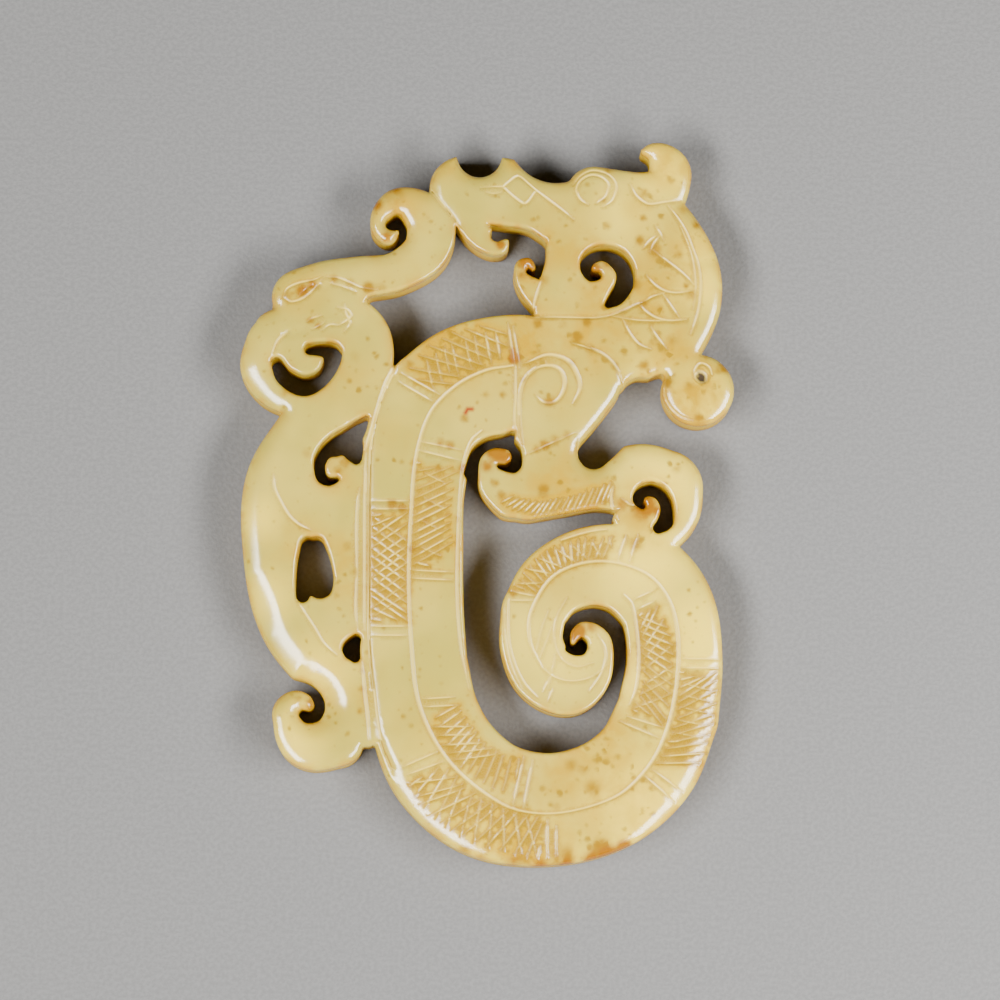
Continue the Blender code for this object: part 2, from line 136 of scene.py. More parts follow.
DRAGON_CURLS = {
    "crest ball": [(697.5, 390, 36)],
    "lip": [(468, 216, 15), (477, 232, 13.5), (490, 243, 11), (500.5, 246, 7.5), (506, 241, 2.5)],
    "beard": [(552, 304, 18), (531, 289, 12), (520, 276, 6.5), (521, 265, 6), (528, 262, 4.5),
              (532, 267, 3)],
    "beard root": [(546, 310, 13)],
    "paw curl": [(511, 497, 22), (494.5, 486, 16), (488, 474, 10), (488, 463, 8.5), (494, 457, 7.5),
                 (503, 457.5, 7.5)],
}
BEAST = {
    "crest": [(304, 293, 26.5), (330, 290, 31), (360, 277, 22), (395, 271, 20), (425, 250, 23),
              (430, 222, 24), (414, 204, 18), (395, 200, 13.5), (382, 212, 11), (381, 227, 10.5),
              (388, 236, 7.5), (396, 231, 2.5)],
    "head": [(300, 297, 28.5), (318, 322, 40), (350, 345, 42), (340, 390, 45), (324, 420, 42)],
    "jaw": [(285, 347, 40), (265, 368, 24.5), (274, 390, 18), (300, 405, 14)],
    "back": [(324, 444, 52), (300, 490, 55), (299.5, 550, 55.5), (310, 610, 53.5), (331, 660, 40),
             (345, 700, 24), (340, 735, 26)],
    "belly join": [(350, 480, 20), (350, 600, 20), (362, 690, 14), (368, 735, 12)],
    "foot": [(339, 741, 25.5), (312, 738, 31), (298.5, 715, 24.5)],
}
SAWN_BEFORE_BROW = {
    "nose notch": [(479, 152, 22.5)],
    "brow notch": [(556, 132, 48)],
}
SAWN_BEFORE_CURLS = {
    "haunch notch": [(640, 396, 19), (627, 413, 17), (606, 440, 17), (593, 453.5, 16)],
    "paw gap": [(470.5, 474, 7), (478, 456, 8.5), (486, 448, 8.5), (496, 443.5, 7.5), (506, 444, 7),
                (514, 450, 6), (516.5, 459.5, 5.5), (514.5, 467, 6), (508, 470, 5.5), (501.5, 467.5, 4.5),
                (499, 463, 2.5)],
}
SAWN_LAST = {
    "cheek hook": [(597, 275, 4.5), (591, 275.5, 5.5), (585.5, 269, 5.5), (587.5, 259.5, 7), (595, 253.5, 8),
                   (605, 252, 8.5), (617, 258, 10), (624.5, 270, 9.5), (624, 284, 9), (616, 297, 8),
                   (608, 304, 4)],
    "heel hook": [(641, 507, 3.5), (637, 501, 5.5), (640.5, 493, 6.5), (650, 490, 7.5), (659, 494, 7.5),
                  (664.5, 503, 7), (666, 513, 7), (664, 523, 8), (657, 529, 5.5)],
    "beast mouth": [(310, 350, 6), (322, 350, 7.5), (333, 354, 9), (325, 376, 8), (305, 387, 10.5),
                    (285, 378, 9), (277, 364, 6)],
    "beast shoulder": [(337, 481, 3), (330, 483, 4.5), (323, 480, 5.5), (320, 471, 5.5), (321, 461, 6.5),
                       (327, 452, 8), (338, 446, 11.5), (350, 439, 11.5), (359, 429, 8), (366, 420, 3)],
    "shoulder foot": [(352, 440, 10), (352.5, 450, 11), (356.5, 460.5, 5.5)],
    "beast flank": [(317, 546, 8), (320, 562, 11), (321.5, 580, 13), (321, 587, 13)],
    "flank front": [(309, 546, 8), (306.5, 565, 9), (305, 588, 8.5), (304, 597, 7)],
    "beast thigh": [(357, 640, 5), (352, 650, 9), (356, 658, 5.5)],
    "tail eye": [(567, 650, 3), (573, 651, 5), (579, 649, 7), (581, 645, 5.5)],
    "lip eye": [(496.5, 234.5, 6.5), (500.5, 231, 6)],
    "crest eye": [(390.5, 222.5, 6), (396, 217.5, 5.5)],
    "foot scroll": [(289, 682, 5), (307, 687, 5), (317, 695, 5), (321, 706, 5.5), (317, 715, 6.5),
                    (309, 717, 6), (304.5, 714, 4.5)],
}

PLAN_LAYERS = [
    (DRAGON_HEAD, True),
    (SAWN_BEFORE_BROW, False),
    (DRAGON_BROW, True),
    (DRAGON_BODY, True),
    (SAWN_BEFORE_CURLS, False),
    (DRAGON_CURLS, True),
    (BEAST, True),
    (SAWN_LAST, False),
]

# Sides that slope away over a broader strip: a line along the side, and how much broader, in steps
BROAD_SIDES = {
    "beast back": ([(250, 350, 0), (246, 480, 0), (252, 590, 0)], 11),
    "beast haunch": ([(266, 622, 0), (298, 668, 0), (330, 705, 0)], 20),
    "belly front": ([(396, 795, 0), (440, 838, 0)], 8),
    "belly back": ([(715, 700, 0), (675, 812, 0)], 8),
}
BROAD_REACH = 60

# Slopes that fall to a line on its right-hand side only: stations, width in steps, depth in millimetres
SIDE_SLOPES = {
    "muzzle": ([(457, 224), (450, 214), (440, 202), (430, 188)], 13, 0.26),
    "body flank": ([(393, 770), (380, 738), (373, 690), (370, 640), (369, 500), (373, 440), (384, 395),
                    (400, 365)], 17, 0.3),
    "haunch rump": ([(622, 386), (617, 372), (604, 357), (588, 348), (574, 344)], 12, 0.12),
    "haunch front": ([(556, 362), (540, 366), (526, 378), (519, 395), (520, 430), (524, 455)], 7, 0.14),
    "crest": ([(305, 286), (330, 284), (350, 290), (368, 298)], 9, 0.14),
    "beast cheek": ([(273, 354), (278, 342), (287, 333), (300, 330)], 12, 0.2),
    "chin": ([(640, 304), (620, 313), (600, 318), (565, 319), (532, 317)], 9, 0.16),
}

# Lines cut with a small wheel: (across, down, half width) stations
FINE_LINES = {
    "body middle": [(512, 367, 1.6), (485, 372, 2), (455, 388, 2), (430, 415, 2), (416, 460, 2),
                    (411, 520, 2), (409, 580, 2), (412, 650, 2), (421, 710, 2), (450, 763, 2),
                    (500, 803, 1.8), (540, 813, 1.6), (585, 807, 1.6), (625, 789, 1.8), (658, 747, 2),
                    (675, 680, 2), (672, 615, 2), (648, 578, 2), (600, 563, 2), (555, 576, 2),
                    (531, 612, 2), (529, 642, 1.8), (541, 669, 1.2)],
    "body and beast": [(398, 361, 2.5), (383, 395, 2.5), (372, 430, 2.2), (366, 452, 2)],
    "beast and body foot": [(362, 660, 0.8), (364, 675, 1.5), (366, 695, 1.9), (369, 720, 1.9),
                            (370, 740, 1.0)],
    "muzzle fold": [(430, 188, 2), (440, 202, 2.4), (450, 214, 2.4), (457, 224, 2)],
    "beast border": [(360, 490, 0.8), (358, 505, 1.5), (357, 540, 1.5), (357.5, 575, 1.2), (356.5, 610, 1.5),
                     (358, 632, 0.9)],
    "body border": [(398, 361, 1.5), (385, 385, 1.6), (375, 420, 1.6), (371, 450, 1.6), (370, 500, 1.6),
                    (370, 570, 1.6), (370, 640, 1.6), (375, 690, 1.6), (382, 740, 1.5), (393, 770, 1.2)],
    "body border near": [(366, 452, 1.2), (365, 500, 1.4), (365, 570, 1.4), (365, 632, 1.2)],
    "bay rim": [(482, 432, 1.2), (472, 441, 1.6), (465, 458, 1.6), (461, 480, 1.6), (458, 530, 1.6),
                (457, 600, 1.6), (461, 650, 1.5), (469, 690, 1.0)],
    "tail rim above": [(560, 542, 1.2), (575, 537, 1.5), (590, 533, 1.5), (605, 531, 1.2)],
    "tail rim outside": [(508, 600, 1.2), (508, 640, 1.6), (514, 665, 1.6), (524, 685, 1.6), (536, 698, 1.2)],
    "tail rim second": [(504, 610, 1.0), (505, 640, 1.3), (511, 668, 1.3), (521, 690, 1.0)],
    "tail rim inside": [(622, 596, 1.2), (630, 605, 1.5), (635, 630, 1.5), (637, 660, 1.5), (634, 690, 1.5),
                        (628, 705, 1.0)],
    "coil arc": [(541, 669, 1.0), (553, 678, 1.3), (570, 682, 1.3), (590, 678, 1.2), (606, 666, 0.7)],
    "tail end ring": [(566, 600, 0.7), (556, 618, 1.2), (553, 640, 1.2), (560, 660, 1.2), (575, 668, 1.1),
                      (592, 664, 0.7)],
    "tail end fork": [(548, 612, 0.6), (541, 630, 1.1), (536, 652, 0.6)],
    "tail end slant": [(551, 628, 0.6), (545, 645, 1.1), (538, 662, 0.6)],
    "tail end upright": [(556, 650, 0.6), (552, 668, 1.1), (547, 690, 0.7)],
    "tail end rim": [(596, 636, 1.0), (603, 648, 1.4), (604, 662, 1.4), (598, 678, 1.4), (588, 692, 1.2)],
    "eye front": [(480, 187, 0.8), (492, 186, 1.2), (503, 186, 1.6)],
    "eye top": [(503, 186, 1.6), (510, 180, 1.8), (518, 175, 1.8), (527, 182, 1.8), (536, 190, 1.6)],
    "eye bottom": [(503, 187, 1.6), (514, 197, 1.8), (525, 203, 1.8), (536, 190, 1.6)],
    "eye tail": [(536, 190, 1.6), (549, 200, 1.8), (561, 209, 1.5), (573, 219, 0.9)],
    "muzzle mark": [(486, 192, 0.8), (493, 193, 1.2), (500, 192, 0.8)],
    "ear ring": [(588, 204, 1.0), (580, 199, 1.6), (576, 190, 1.8), (580, 180, 1.8), (590, 174, 1.8),
                 (601, 176, 1.8), (608, 184, 1.8), (606, 195, 1.6), (597, 202, 1.2)],
    "ear shell": [(572, 184, 1.0), (581, 174, 1.6), (592, 169, 1.8), (606, 172, 1.8), (614, 180, 1.8),
                  (616, 190, 1.8), (612, 200, 1.5), (603, 206, 1.0)],
    "horn bound": [(630, 183, 1.0), (636, 195, 1.6), (648, 203, 1.8), (665, 201, 1.6), (680, 199, 1.0)],
    "mane border": [(668, 205, 1.0), (678, 218, 1.5), (686, 232, 1.6), (692, 248, 1.6), (697, 262, 1.6),
                    (700, 280, 1.6), (700, 295, 1.6), (697, 315, 1.5), (690, 335, 1.0)],
    "mane inner": [(680, 225, 0.8), (688, 245, 1.2), (693, 265, 1.3), (695, 290, 1.2), (693, 310, 0.8)],
    "neck arc high": [(646, 276, 0.9), (654, 285, 1.5), (664, 291, 1.6), (676, 293, 1.5), (690, 291, 0.9)],
    "neck arc low": [(638, 304, 0.9), (645, 312, 1.5), (655, 318, 1.6), (668, 321, 1.5), (686, 320, 0.9)],
    "neck tie": [(662, 294, 0.8), (670, 306, 1.5), (679, 319, 0.8)],
    "neck slant": [(652, 250, 0.8), (668, 262, 1.4), (684, 275, 1.5), (694, 286, 0.8)],
    "neck fork": [(640, 304, 0.8), (652, 297, 1.3), (664, 293, 0.8)],
    "neck crescent": [(622, 320, 0.9), (629, 334, 1.5), (638, 345, 1.6), (650, 350, 0.9)],
    "neck slash": [(650, 328, 0.8), (657, 339, 1.6), (666, 350, 0.8)],
    "neck chord": [(612, 317, 0.8), (640, 321, 1.3), (680, 321, 0.8)],
    "neck nick one": [(643, 248, 0.8), (649, 241, 1.8), (656, 235, 0.8)],
    "neck nick two": [(650, 252, 0.8), (654, 243, 1.6), (659, 236, 0.8)],
    "neck nick three": [(655, 226, 0.6), (659, 232, 1.6), (663, 240, 0.6)],
    "beard groove": [(541, 280, 1.0), (538, 290, 1.8), (535, 300, 1.8), (532, 313, 1.2)],
    "chin crease": [(528, 318, 1.0), (560, 318, 1.6), (600, 318, 1.6), (622, 312, 1.5), (640, 303, 1.0)],
    "haunch upper": [(572, 344, 1.0), (585, 348, 1.6), (600, 354, 1.8), (610, 362, 1.8), (617, 372, 1.6),
                     (623, 386, 1.0)],
    "haunch upright": [(515, 368, 1.2), (515, 400, 1.6), (514, 425, 1.5), (517, 442, 1.0)],
    "haunch shell": [(526, 364, 1.0), (548, 356, 2.2), (567, 362, 2.6), (577, 377, 2.6), (579, 391, 2.2),
                     (572, 405, 1.0)],
    "haunch spiral": [(536, 398, 1.0), (543, 404, 1.8), (553, 404, 2.0), (561, 396, 2.2), (564, 384, 2.4),
                      (560, 372, 2.4), (550, 367, 2.2), (537, 369, 2.0), (526, 378, 2.2), (520, 394, 2.2),
                      (519, 420, 2.0), (522, 446, 1.2)],
    "haunch crease": [(526, 456, 0.7), (540, 450, 1.2), (555, 443, 1.2), (575, 434, 0.6)],
    "haunch foot rim": [(578, 440, 0.8), (577, 455, 1.4), (581, 463, 0.8)],
    "cuff": [(612, 488, 1.0), (610, 500, 1.6), (612, 512, 1.6), (617, 522, 1.0)],
    "paw knuckle": [(620, 500, 0.8), (628, 506, 1.5), (640, 508, 0.9)],
    "ball rim": [(664, 383, 1.0), (664, 396, 1.6), (670, 408, 1.6), (680, 417, 1.4), (692, 421, 0.9)],
    "ball spiral": [(694, 380, 0.8), (694, 371, 1.4), (700, 364, 1.8), (708, 368, 1.8), (711, 376, 1.2)],
    "ball pit": [(699, 377, 6.4), (701, 379, 6.4)],
    "beast ear above": [(283, 299, 0.8), (287, 290, 1.6), (299, 284, 1.7), (313, 281, 1.4), (322, 277, 0.7)],
    "beast ear below": [(283, 299, 0.8), (291, 303, 1.6), (304, 299, 1.7), (315, 289, 1.4), (322, 280, 0.7)],
    "beast ear fold": [(298, 298, 0.6), (305, 291, 1.3), (313, 284, 0.6)],
    "beast brow": [(326, 278, 0.7), (338, 279, 1.4), (350, 284, 1.6), (362, 289, 1.2), (378, 291, 0.7)],
    "beast brow below": [(330, 284, 0.6), (342, 287, 1.1), (355, 293, 0.6)],
    "beast nostril": [(338, 309, 0.8), (347, 311, 1.6), (351, 318, 1.8), (345, 323, 1.5), (338, 327, 0.8)],
    "beast nose mark": [(344, 305, 0.7), (346, 316, 1.6), (350, 325, 1.6), (344, 333, 0.7)],
    "beast mark one": [(307, 323, 0.7), (314, 319, 1.4), (321, 317, 0.7)],
    "beast mark two": [(312, 331, 0.7), (318, 328, 1.4), (324, 324, 0.7)],
    "beast cheek arc": [(287, 334, 0.9), (279, 341, 1.8), (273, 354, 1.0)],
    "beast eye": [(322, 332, 0.7), (330, 326, 1.5), (338, 327, 0.8)],
    "beast thigh arc": [(274, 478, 1.0), (276, 492, 1.8), (282, 505, 1.8), (290, 518, 1.8), (300, 527, 1.6),
                        (311, 532, 1.0)],
    "beast leg": [(298, 602, 0.9), (306, 615, 1.6), (316, 630, 1.6), (325, 645, 1.6), (338, 657, 0.9)],
}

# The lines across the body that close each hatched panel: one straight cut each
END_LINES = [
    ((507, 323), (514, 369)), ((512, 327), (519, 369)), ((401, 375), (440, 397)), ((399, 384), (433, 404)),
    ((418, 443), (460, 452)), ((417, 452), (458, 462)), ((411, 572), (452, 574)), ((411, 580), (452, 582)),
    ((371, 503), (410, 503)), ((371, 511), (410, 511)), ((371, 628), (409, 628)), ((371, 637), (409, 637)),
    ((423, 700), (455, 698)), ((424, 708), (457, 706)), ((523, 757), (512, 807)), ((532, 760), (522, 811)),
    ((438, 752), (402, 768)), ((443, 762), (408, 775)), ((546, 820), (546, 857)), ((555, 825), (555, 855)),
    ((641, 775), (672, 802)), ((650, 770), (680, 792)), ((680, 660), (717, 660)), ((680, 669), (717, 669)),
    ((618, 722), (655, 738)), ((625, 717), (660, 728)), ((635, 600), (650, 593)), ((638, 610), (652, 603)),
    ((625, 537), (617, 562)), ((637, 537), (629, 562)), ((510, 593), (535, 598)), ((508, 602), (533, 602)),
    ((548, 681), (542, 693)), ((552, 690), (547, 702)), ((366, 470), (366, 500)),
]

# Rows of hatching: the rail that the strokes start on, the rail that they end on, how many, how far the end
# runs ahead of the start (as a share of the rail), and the shares of the way at which they start and end
INNER_FLANK = ([(415, 462), (412, 500), (411, 540), (411, 574)],
               [(458, 466), (454, 500), (453, 540), (452, 574)])
OUTER_FLANK = ([(373, 512), (373, 627)],
               [(409, 512), (409, 627)])
HEEL = ([(405, 778), (425, 812), (458, 838), (500, 853), (543, 857)],
        [(443, 763), (470, 790), (505, 809), (544, 817)])
COIL = ([(630, 713), (638, 690), (641, 655), (638, 614)],
        [(661, 727), (671, 690), (672, 650), (664, 612), (655, 600)])
TAIL = ([(616, 536), (580, 539), (545, 552), (522, 572), (510, 592)],
        [(612, 561), (585, 563), (560, 572), (545, 585), (536, 596)])
HATCHES = {
    "shoulder long": ([(484, 326), (449, 333), (429, 345), (415, 357), (408, 371), (422, 385)],
                      [(506, 332), (504, 344), (492, 356), (486, 364), (468, 373), (450, 388)], 8, 0.0,
                      (0.0, 1.0)),
    "shoulder short": ([(420, 354), (445, 337), (470, 329), (497, 325)],
                       [(430, 396), (452, 382), (476, 372), (503, 366)], 8, 0.0, (0.2, 0.85)),
    "inner flank": (*INNER_FLANK, 13, -0.22, (0.05, 0.95)),
    "inner flank cross": (*INNER_FLANK, 5, 0.16, (0.25, 0.75)),
    "outer flank": (*OUTER_FLANK, 11, 0.22, (0.02, 0.98)),
    "outer flank cross": (*OUTER_FLANK, 11, -0.22, (0.02, 0.98)),
    "bay foot": ([(458, 702), (468, 722), (480, 737), (500, 750), (521, 757)],
                 [(424, 712), (436, 745), (460, 778), (490, 799), (511, 806)], 13, 0.04, (0.05, 0.75)),
    "bay foot cross": ([(430, 722), (440, 745), (455, 765)],
                       [(470, 722), (488, 742), (512, 756)], 5, 0.0, (0.1, 0.9)),
    "heel": (*HEEL, 13, 0.12, (0.02, 0.98)),
    "heel cross": (*HEEL, 11, -0.14, (0.02, 0.98)),
    "rump": ([(652, 766), (668, 735), (676, 700), (678, 671)],
             [(682, 793), (701, 765), (712, 720), (716, 671)], 13, 0.26, (0.04, 0.97)),
    "rump cross": ([(662, 748), (674, 712), (678, 675)], [(705, 740), (713, 705), (716, 671)], 6, -0.2,
                   (0.1, 0.8)),
    "coil": (*COIL, 13, -0.2, (0.03, 0.96)),
    "coil cross": (*COIL, 9, 0.22, (0.05, 0.9)),
    "tail": (*TAIL, 15, 0.1, (0.05, 0.95)),
    "tail cross": (*TAIL, 7, -0.12, (0.1, 0.9)),
    "paw feathers": ([(498, 503), (512, 511), (535, 517), (565, 515), (592, 508), (609, 501)],
                     [(505, 496), (520, 501), (541, 503), (570, 499), (598, 489), (613, 482)], 19, 0.03,
                     (0.0, 1.0)),
}
HATCH_HALF_WIDTH = 1.2
END_HALF_WIDTH = 1.4
PANEL_REACH = 7.0

# A straight cut narrows to this share of its width, over this share of its length at each end
CUT_TAPER = 0.45
CUT_SHOULDER = 0.25

# How far the strokes of the hatching stray from even ones, as shares of their gap, rail, length and width
GAP_UNEVENNESS = 0.22
LEAN_UNEVENNESS = 0.012
LENGTH_UNEVENNESS = 0.06
WIDTH_UNEVENNESS = 0.2
SEEDS_PER_ROW = 31
DRAW_SHIFTS = (0.0, 0.5, 0.2, 0.7, 0.9)
SCRAMBLE_START = 4.137
SCRAMBLE_STEP = 12.9898
SCRAMBLE_SIZE = 43758.5453

# Where the stone is warmer, paler, rusty and stained, in round zones: (across, down, radius, strength); the
# rusty zones at the scroll tips are partly painted shade
WARM_ZONES = [
    (455, 350, 62, 0.75), (520, 340, 60, 0.8), (590, 335, 60, 0.8), (640, 300, 62, 0.85),
    (668, 255, 50, 0.7), (690, 395, 44, 0.95), (672, 350, 40, 0.8), (400, 210, 34, 0.7),
    (640, 515, 40, 0.75), (555, 492, 50, 0.8), (668, 165, 30, 0.7), (450, 165, 22, 0.6),
    (512, 160, 14, 0.6), (525, 280, 26, 0.7), (395, 560, 52, 0.45), (345, 480, 30, 0.4),
    (350, 590, 30, 0.45), (330, 690, 60, 0.25), (440, 560, 40, 0.4), (560, 570, 50, 0.4),
    (600, 790, 90, 0.55), (540, 840, 70, 0.6), (690, 760, 60, 0.35), (300, 290, 34, 0.5),
    (565, 215, 50, 0.3), (520, 780, 40, 0.4), (430, 730, 50, 0.3), (360, 700, 22, 0.4), (600, 745, 45, 0.9),
    (565, 245, 40, 0.7), (600, 310, 50, 0.8), (300, 545, 40, 0.4), (560, 800, 50, 0.4), (655, 640, 40, 0.3),
    (520, 345, 40, 1.0), (560, 780, 34, 0.8), (640, 205, 24, 0.5), (565, 400, 34, 0.4), (555, 475, 44, 0.6),
    (690, 405, 26, 0.6), (340, 560, 34, 0.6), (400, 285, 40, 0.25), (350, 380, 40, 0.35),
    (392, 440, 34, 0.25), (620, 340, 30, 0.4),
]
PALE_ZONES = [
    (662, 165, 40, 1.0), (625, 215, 40, 0.5), (700, 285, 34, 0.8), (650, 360, 40, 0.4), (700, 400, 40, 0.8),
    (660, 490, 50, 0.8), (640, 560, 60, 0.8), (690, 640, 60, 0.9), (650, 680, 50, 0.8), (700, 740, 60, 0.9),
    (640, 800, 70, 0.9), (480, 830, 40, 0.6), (440, 780, 50, 0.4), (560, 650, 50, 0.5), (530, 640, 40, 0.4),
    (700, 250, 26, 0.8), (665, 300, 26, 0.4), (300, 735, 34, 0.6), (320, 675, 40, 0.6), (270, 600, 30, 0.5),
    (262, 520, 24, 0.5), (560, 850, 50, 0.4),
]
# Orange rust stains, darkened at the scroll tips as painted shade
RUST_AND_SHADE_ZONES = [
    (642, 508, 15, 1.0), (655, 512, 9, 0.7), (620, 507, 10, 0.5), (386, 192, 10, 0.5), (376, 203, 9, 0.7),
    (386, 236, 8, 0.6), (526, 264, 11, 1.0), (520, 275, 8, 0.5), (594, 268, 9, 1.0), (606, 262, 9, 0.6),
    (497, 455, 12, 1.0), (486, 468, 8, 0.7), (508, 460, 8, 1.0), (491, 456, 7, 0.8), (576, 634, 11, 1.0),
    (590, 629, 8, 0.5), (500, 245, 6, 0.8), (622, 847, 10, 1.0), (606, 854, 12, 1.0), (588, 859, 11, 0.9),
    (565, 862, 9, 0.7), (540, 864, 9, 0.6), (512, 862, 9, 0.5), (482, 855, 8, 0.4), (312, 703, 7, 0.5),
    (514, 360, 7, 1.0), (512, 352, 5, 0.6), (634, 165, 7, 0.3), (395, 188, 8, 0.5), (303, 292, 7, 0.7),
    (312, 286, 5, 0.6), (463, 470, 5, 0.5),
]
STAINS = [
    (660, 530, 10, 0.5), (393, 196, 14, 0.5), (560, 857, 17, 0.8), (600, 850, 16, 0.8), (520, 860, 14, 0.6),
    (465, 847, 10, 0.5), (591, 788, 11, 0.55), (570, 765, 9, 0.5), (582, 770, 7, 0.5), (520, 795, 6, 0.6),
    (555, 806, 6, 0.45), (635, 285, 9, 0.5), (545, 280, 7, 0.45), (303, 292, 8, 0.9), (312, 286, 7, 0.8),
    (286, 297, 8, 0.5), (334, 280, 6, 0.6), (350, 285, 7, 0.6), (368, 289, 8, 0.8), (382, 289, 7, 0.5),
    (310, 322, 6, 0.6), (318, 327, 5, 0.6), (355, 358, 8, 0.6), (543, 493, 9, 0.8), (545, 446, 8, 0.9),
    (553, 442, 7, 0.7), (566, 436, 6, 0.5), (501, 497, 7, 0.6), (494, 484, 6, 0.8), (575, 480, 6, 0.4),
    (513, 360, 7, 0.95), (588, 350, 9, 0.5), (549, 402, 8, 0.8), (430, 178, 8, 0.4), (438, 160, 8, 0.5),
    (682, 208, 8, 0.4), (372, 508, 8, 0.4), (512, 595, 7, 0.6), (375, 622, 7, 0.5), (461, 470, 8, 0.6),
    (458, 520, 6, 0.4), (362, 690, 5, 0.5), (361, 712, 5, 0.6), (364, 672, 5, 0.4), (345, 466, 7, 0.7),
    (338, 472, 6, 0.6), (316, 712, 10, 0.9), (300, 700, 6, 0.4), (349, 548, 7, 0.5), (354, 575, 6, 0.5),
    (560, 555, 9, 0.35), (645, 745, 7, 0.3), (655, 250, 12, 0.5), (690, 295, 8, 0.5), (672, 340, 9, 0.5),
    (640, 350, 8, 0.4), (717, 395, 10, 0.4), (700, 425, 14, 0.4), (308, 455, 8, 0.4), (283, 395, 7, 0.5),
    (330, 345, 6, 0.4), (600, 500, 8, 0.45), (675, 470, 8, 0.4), (634, 545, 12, 0.5), (537, 325, 6, 0.8),
    (563, 325, 6, 0.7), (586, 323, 6, 0.8), (577, 338, 7, 0.8), (572, 363, 5, 0.6), (538, 352, 5, 0.5),
    (464, 420, 6, 0.6), (485, 396, 5, 0.5), (502, 396, 5, 0.6), (440, 444, 6, 0.7), (450, 447, 6, 0.7),
    (548, 444, 6, 0.5), (536, 451, 6, 0.6), (522, 380, 5, 0.6), (410, 365, 7, 0.5), (643, 217, 5, 0.7),
    (607, 226, 6, 0.6), (639, 240, 7, 0.7), (679, 255, 6, 0.6), (686, 286, 5, 0.8), (643, 305, 6, 0.7),
    (622, 311, 6, 0.6), (660, 308, 5, 0.5), (643, 366, 7, 0.7), (652, 342, 6, 0.6), (668, 383, 7, 0.9),
    (688, 384, 8, 0.6), (698, 418, 7, 0.7), (724, 367, 10, 0.8), (696, 224, 6, 0.7), (608, 169, 5, 0.5),
    (643, 192, 7, 0.7), (671, 178, 6, 0.6), (682, 186, 6, 0.5), (604, 200, 5, 0.5), (438, 470, 6, 0.8),
    (430, 505, 6, 0.7), (425, 522, 7, 0.6), (447, 515, 5, 0.5), (412, 551, 5, 0.7), (392, 506, 7, 0.9),
    (402, 509, 6, 0.9),
]
RED_MARK = [(463, 415, 1.0), (468, 412, 2.8), (473, 409, 1.0)]
# The ball's pit, painted near black as shade in its hollow
BALL_PIT = [(699, 377, 4.6), (701, 379, 5.0)]

# How the masks fade out: a zone past its radius, an edge and a cut in steps
ZONE_SPREAD = 1.4
EDGE_FADE = 4.0
CUT_FADE = 1.6

# The patterns in the stone and the floor: waves to the metre, layers of detail and how far they are twisted
CLOUDS = (110.0, 3.0, 0.0)
PATCHES = (420.0, 4.0, 0.4)
CLUSTERS = (280.0, 2.0, 0.0)
POLISH = (5200.0, 4.0, 0.0)
FLOOR_GRAIN = (2400.0, 4.0, 0.0)

# Where a pattern or mask begins and ends to show, and how much it shows there if not from nought to one
CLOUD_RANGE = (0.35, 0.65)
WARM_PATCHES = (0.3, 0.65, 0.5, 1.0)
DIRT_RANGE = (0.1, 0.45)
CUT_RANGE = (0.55, 0.85, 0.0, 0.65)
EDGE_TINT_PATCHES = (0.4, 0.6, 0.08, 0.8)
STAIN_PATCHES = (0.25, 0.6, 0.4, 1.0)
STAIN_RANGE = (0.05, 0.65, 0.0, 0.95)
RUST_AND_SHADE_PATCHES = (0.25, 0.6, 0.5, 1.0)
RUST_AND_SHADE_RANGE = (0.0, 0.6, 0.0, 0.95)
# Where the side walls take their painted shade and painted amber glow of light coming through the stone
WALL_SHADE_AND_GLOW_RANGE = (0.2, 0.5, 0.0, 0.85)
# Where the walls near the back are painted darker still, as shade
FOOT_SHADE_RANGE = (0.5, 1.0, 0.0, 0.8)
WALL_DULLNESS = (0.2, 0.5, 0.0, 0.4)
GRAIN_RANGE = (0.3, 0.7)

# How strongly each mask tells in the colour
WARM_SHARE = 1.2
PANEL_SHARE = 1.1
SPECK_SHARE = 0.75
DIRT_SHARE = 0.75
DIRT_EVERYWHERE = 0.3

# The ochre specks: their size, how ragged they are and how densely they lie
SPECK_SCALE = 1050.0
SPECK_EDGES = (0.8 * SPECK_SCALE, 4.0, 1.0)
SPECK_SIZE = 0.3
SPECK_RANGE = (-0.3, 0.16)
SPECK_CLUSTERS = (0.38, 0.62, 0.45, 1.3)
SPECKS_EVERYWHERE = 0.24
SPECK_DENSITY = {"warm": 0.42, "panel": 0.28, "stain": 0.3}

# The polish: how far its roughness varies, what dulls it, and how strongly and how high its bumps stand
POLISH_SPREAD = (0.8, 1.3)
CUT_DULLNESS = 0.3
PIT_DULLNESS = 0.6
POLISH_BUMPS = (0.12, 0.03 * MM)
JADE_IOR = 1.61
LIGHT_SPREAD = (1.0, 0.72, 0.28)

# The stage, in metres and degrees; an azimuth runs clockwise from the top of the picture
FLOOR_SIZE = 1.5
FLOOR_GAP = 0.02 * MM
FLOOR_ROUGHNESS = 0.85
FLOOR_SHADE = 0.85
FLOOR_BUMPS = (0.25, 0.1 * MM)
LEFT_LIGHT = {"azimuth": 241, "tilt": 42, "distance": 1.0, "length": 0.84, "height": 0.28}
RIGHT_LIGHT = {"azimuth": 114, "tilt": 49, "distance": 0.35, "length": 0.31, "height": 0.1}
SENSOR_WIDTH = 36
VIEW_MIDDLE_ACROSS = 1.325
VIEW_MIDDLE_UP = -0.04


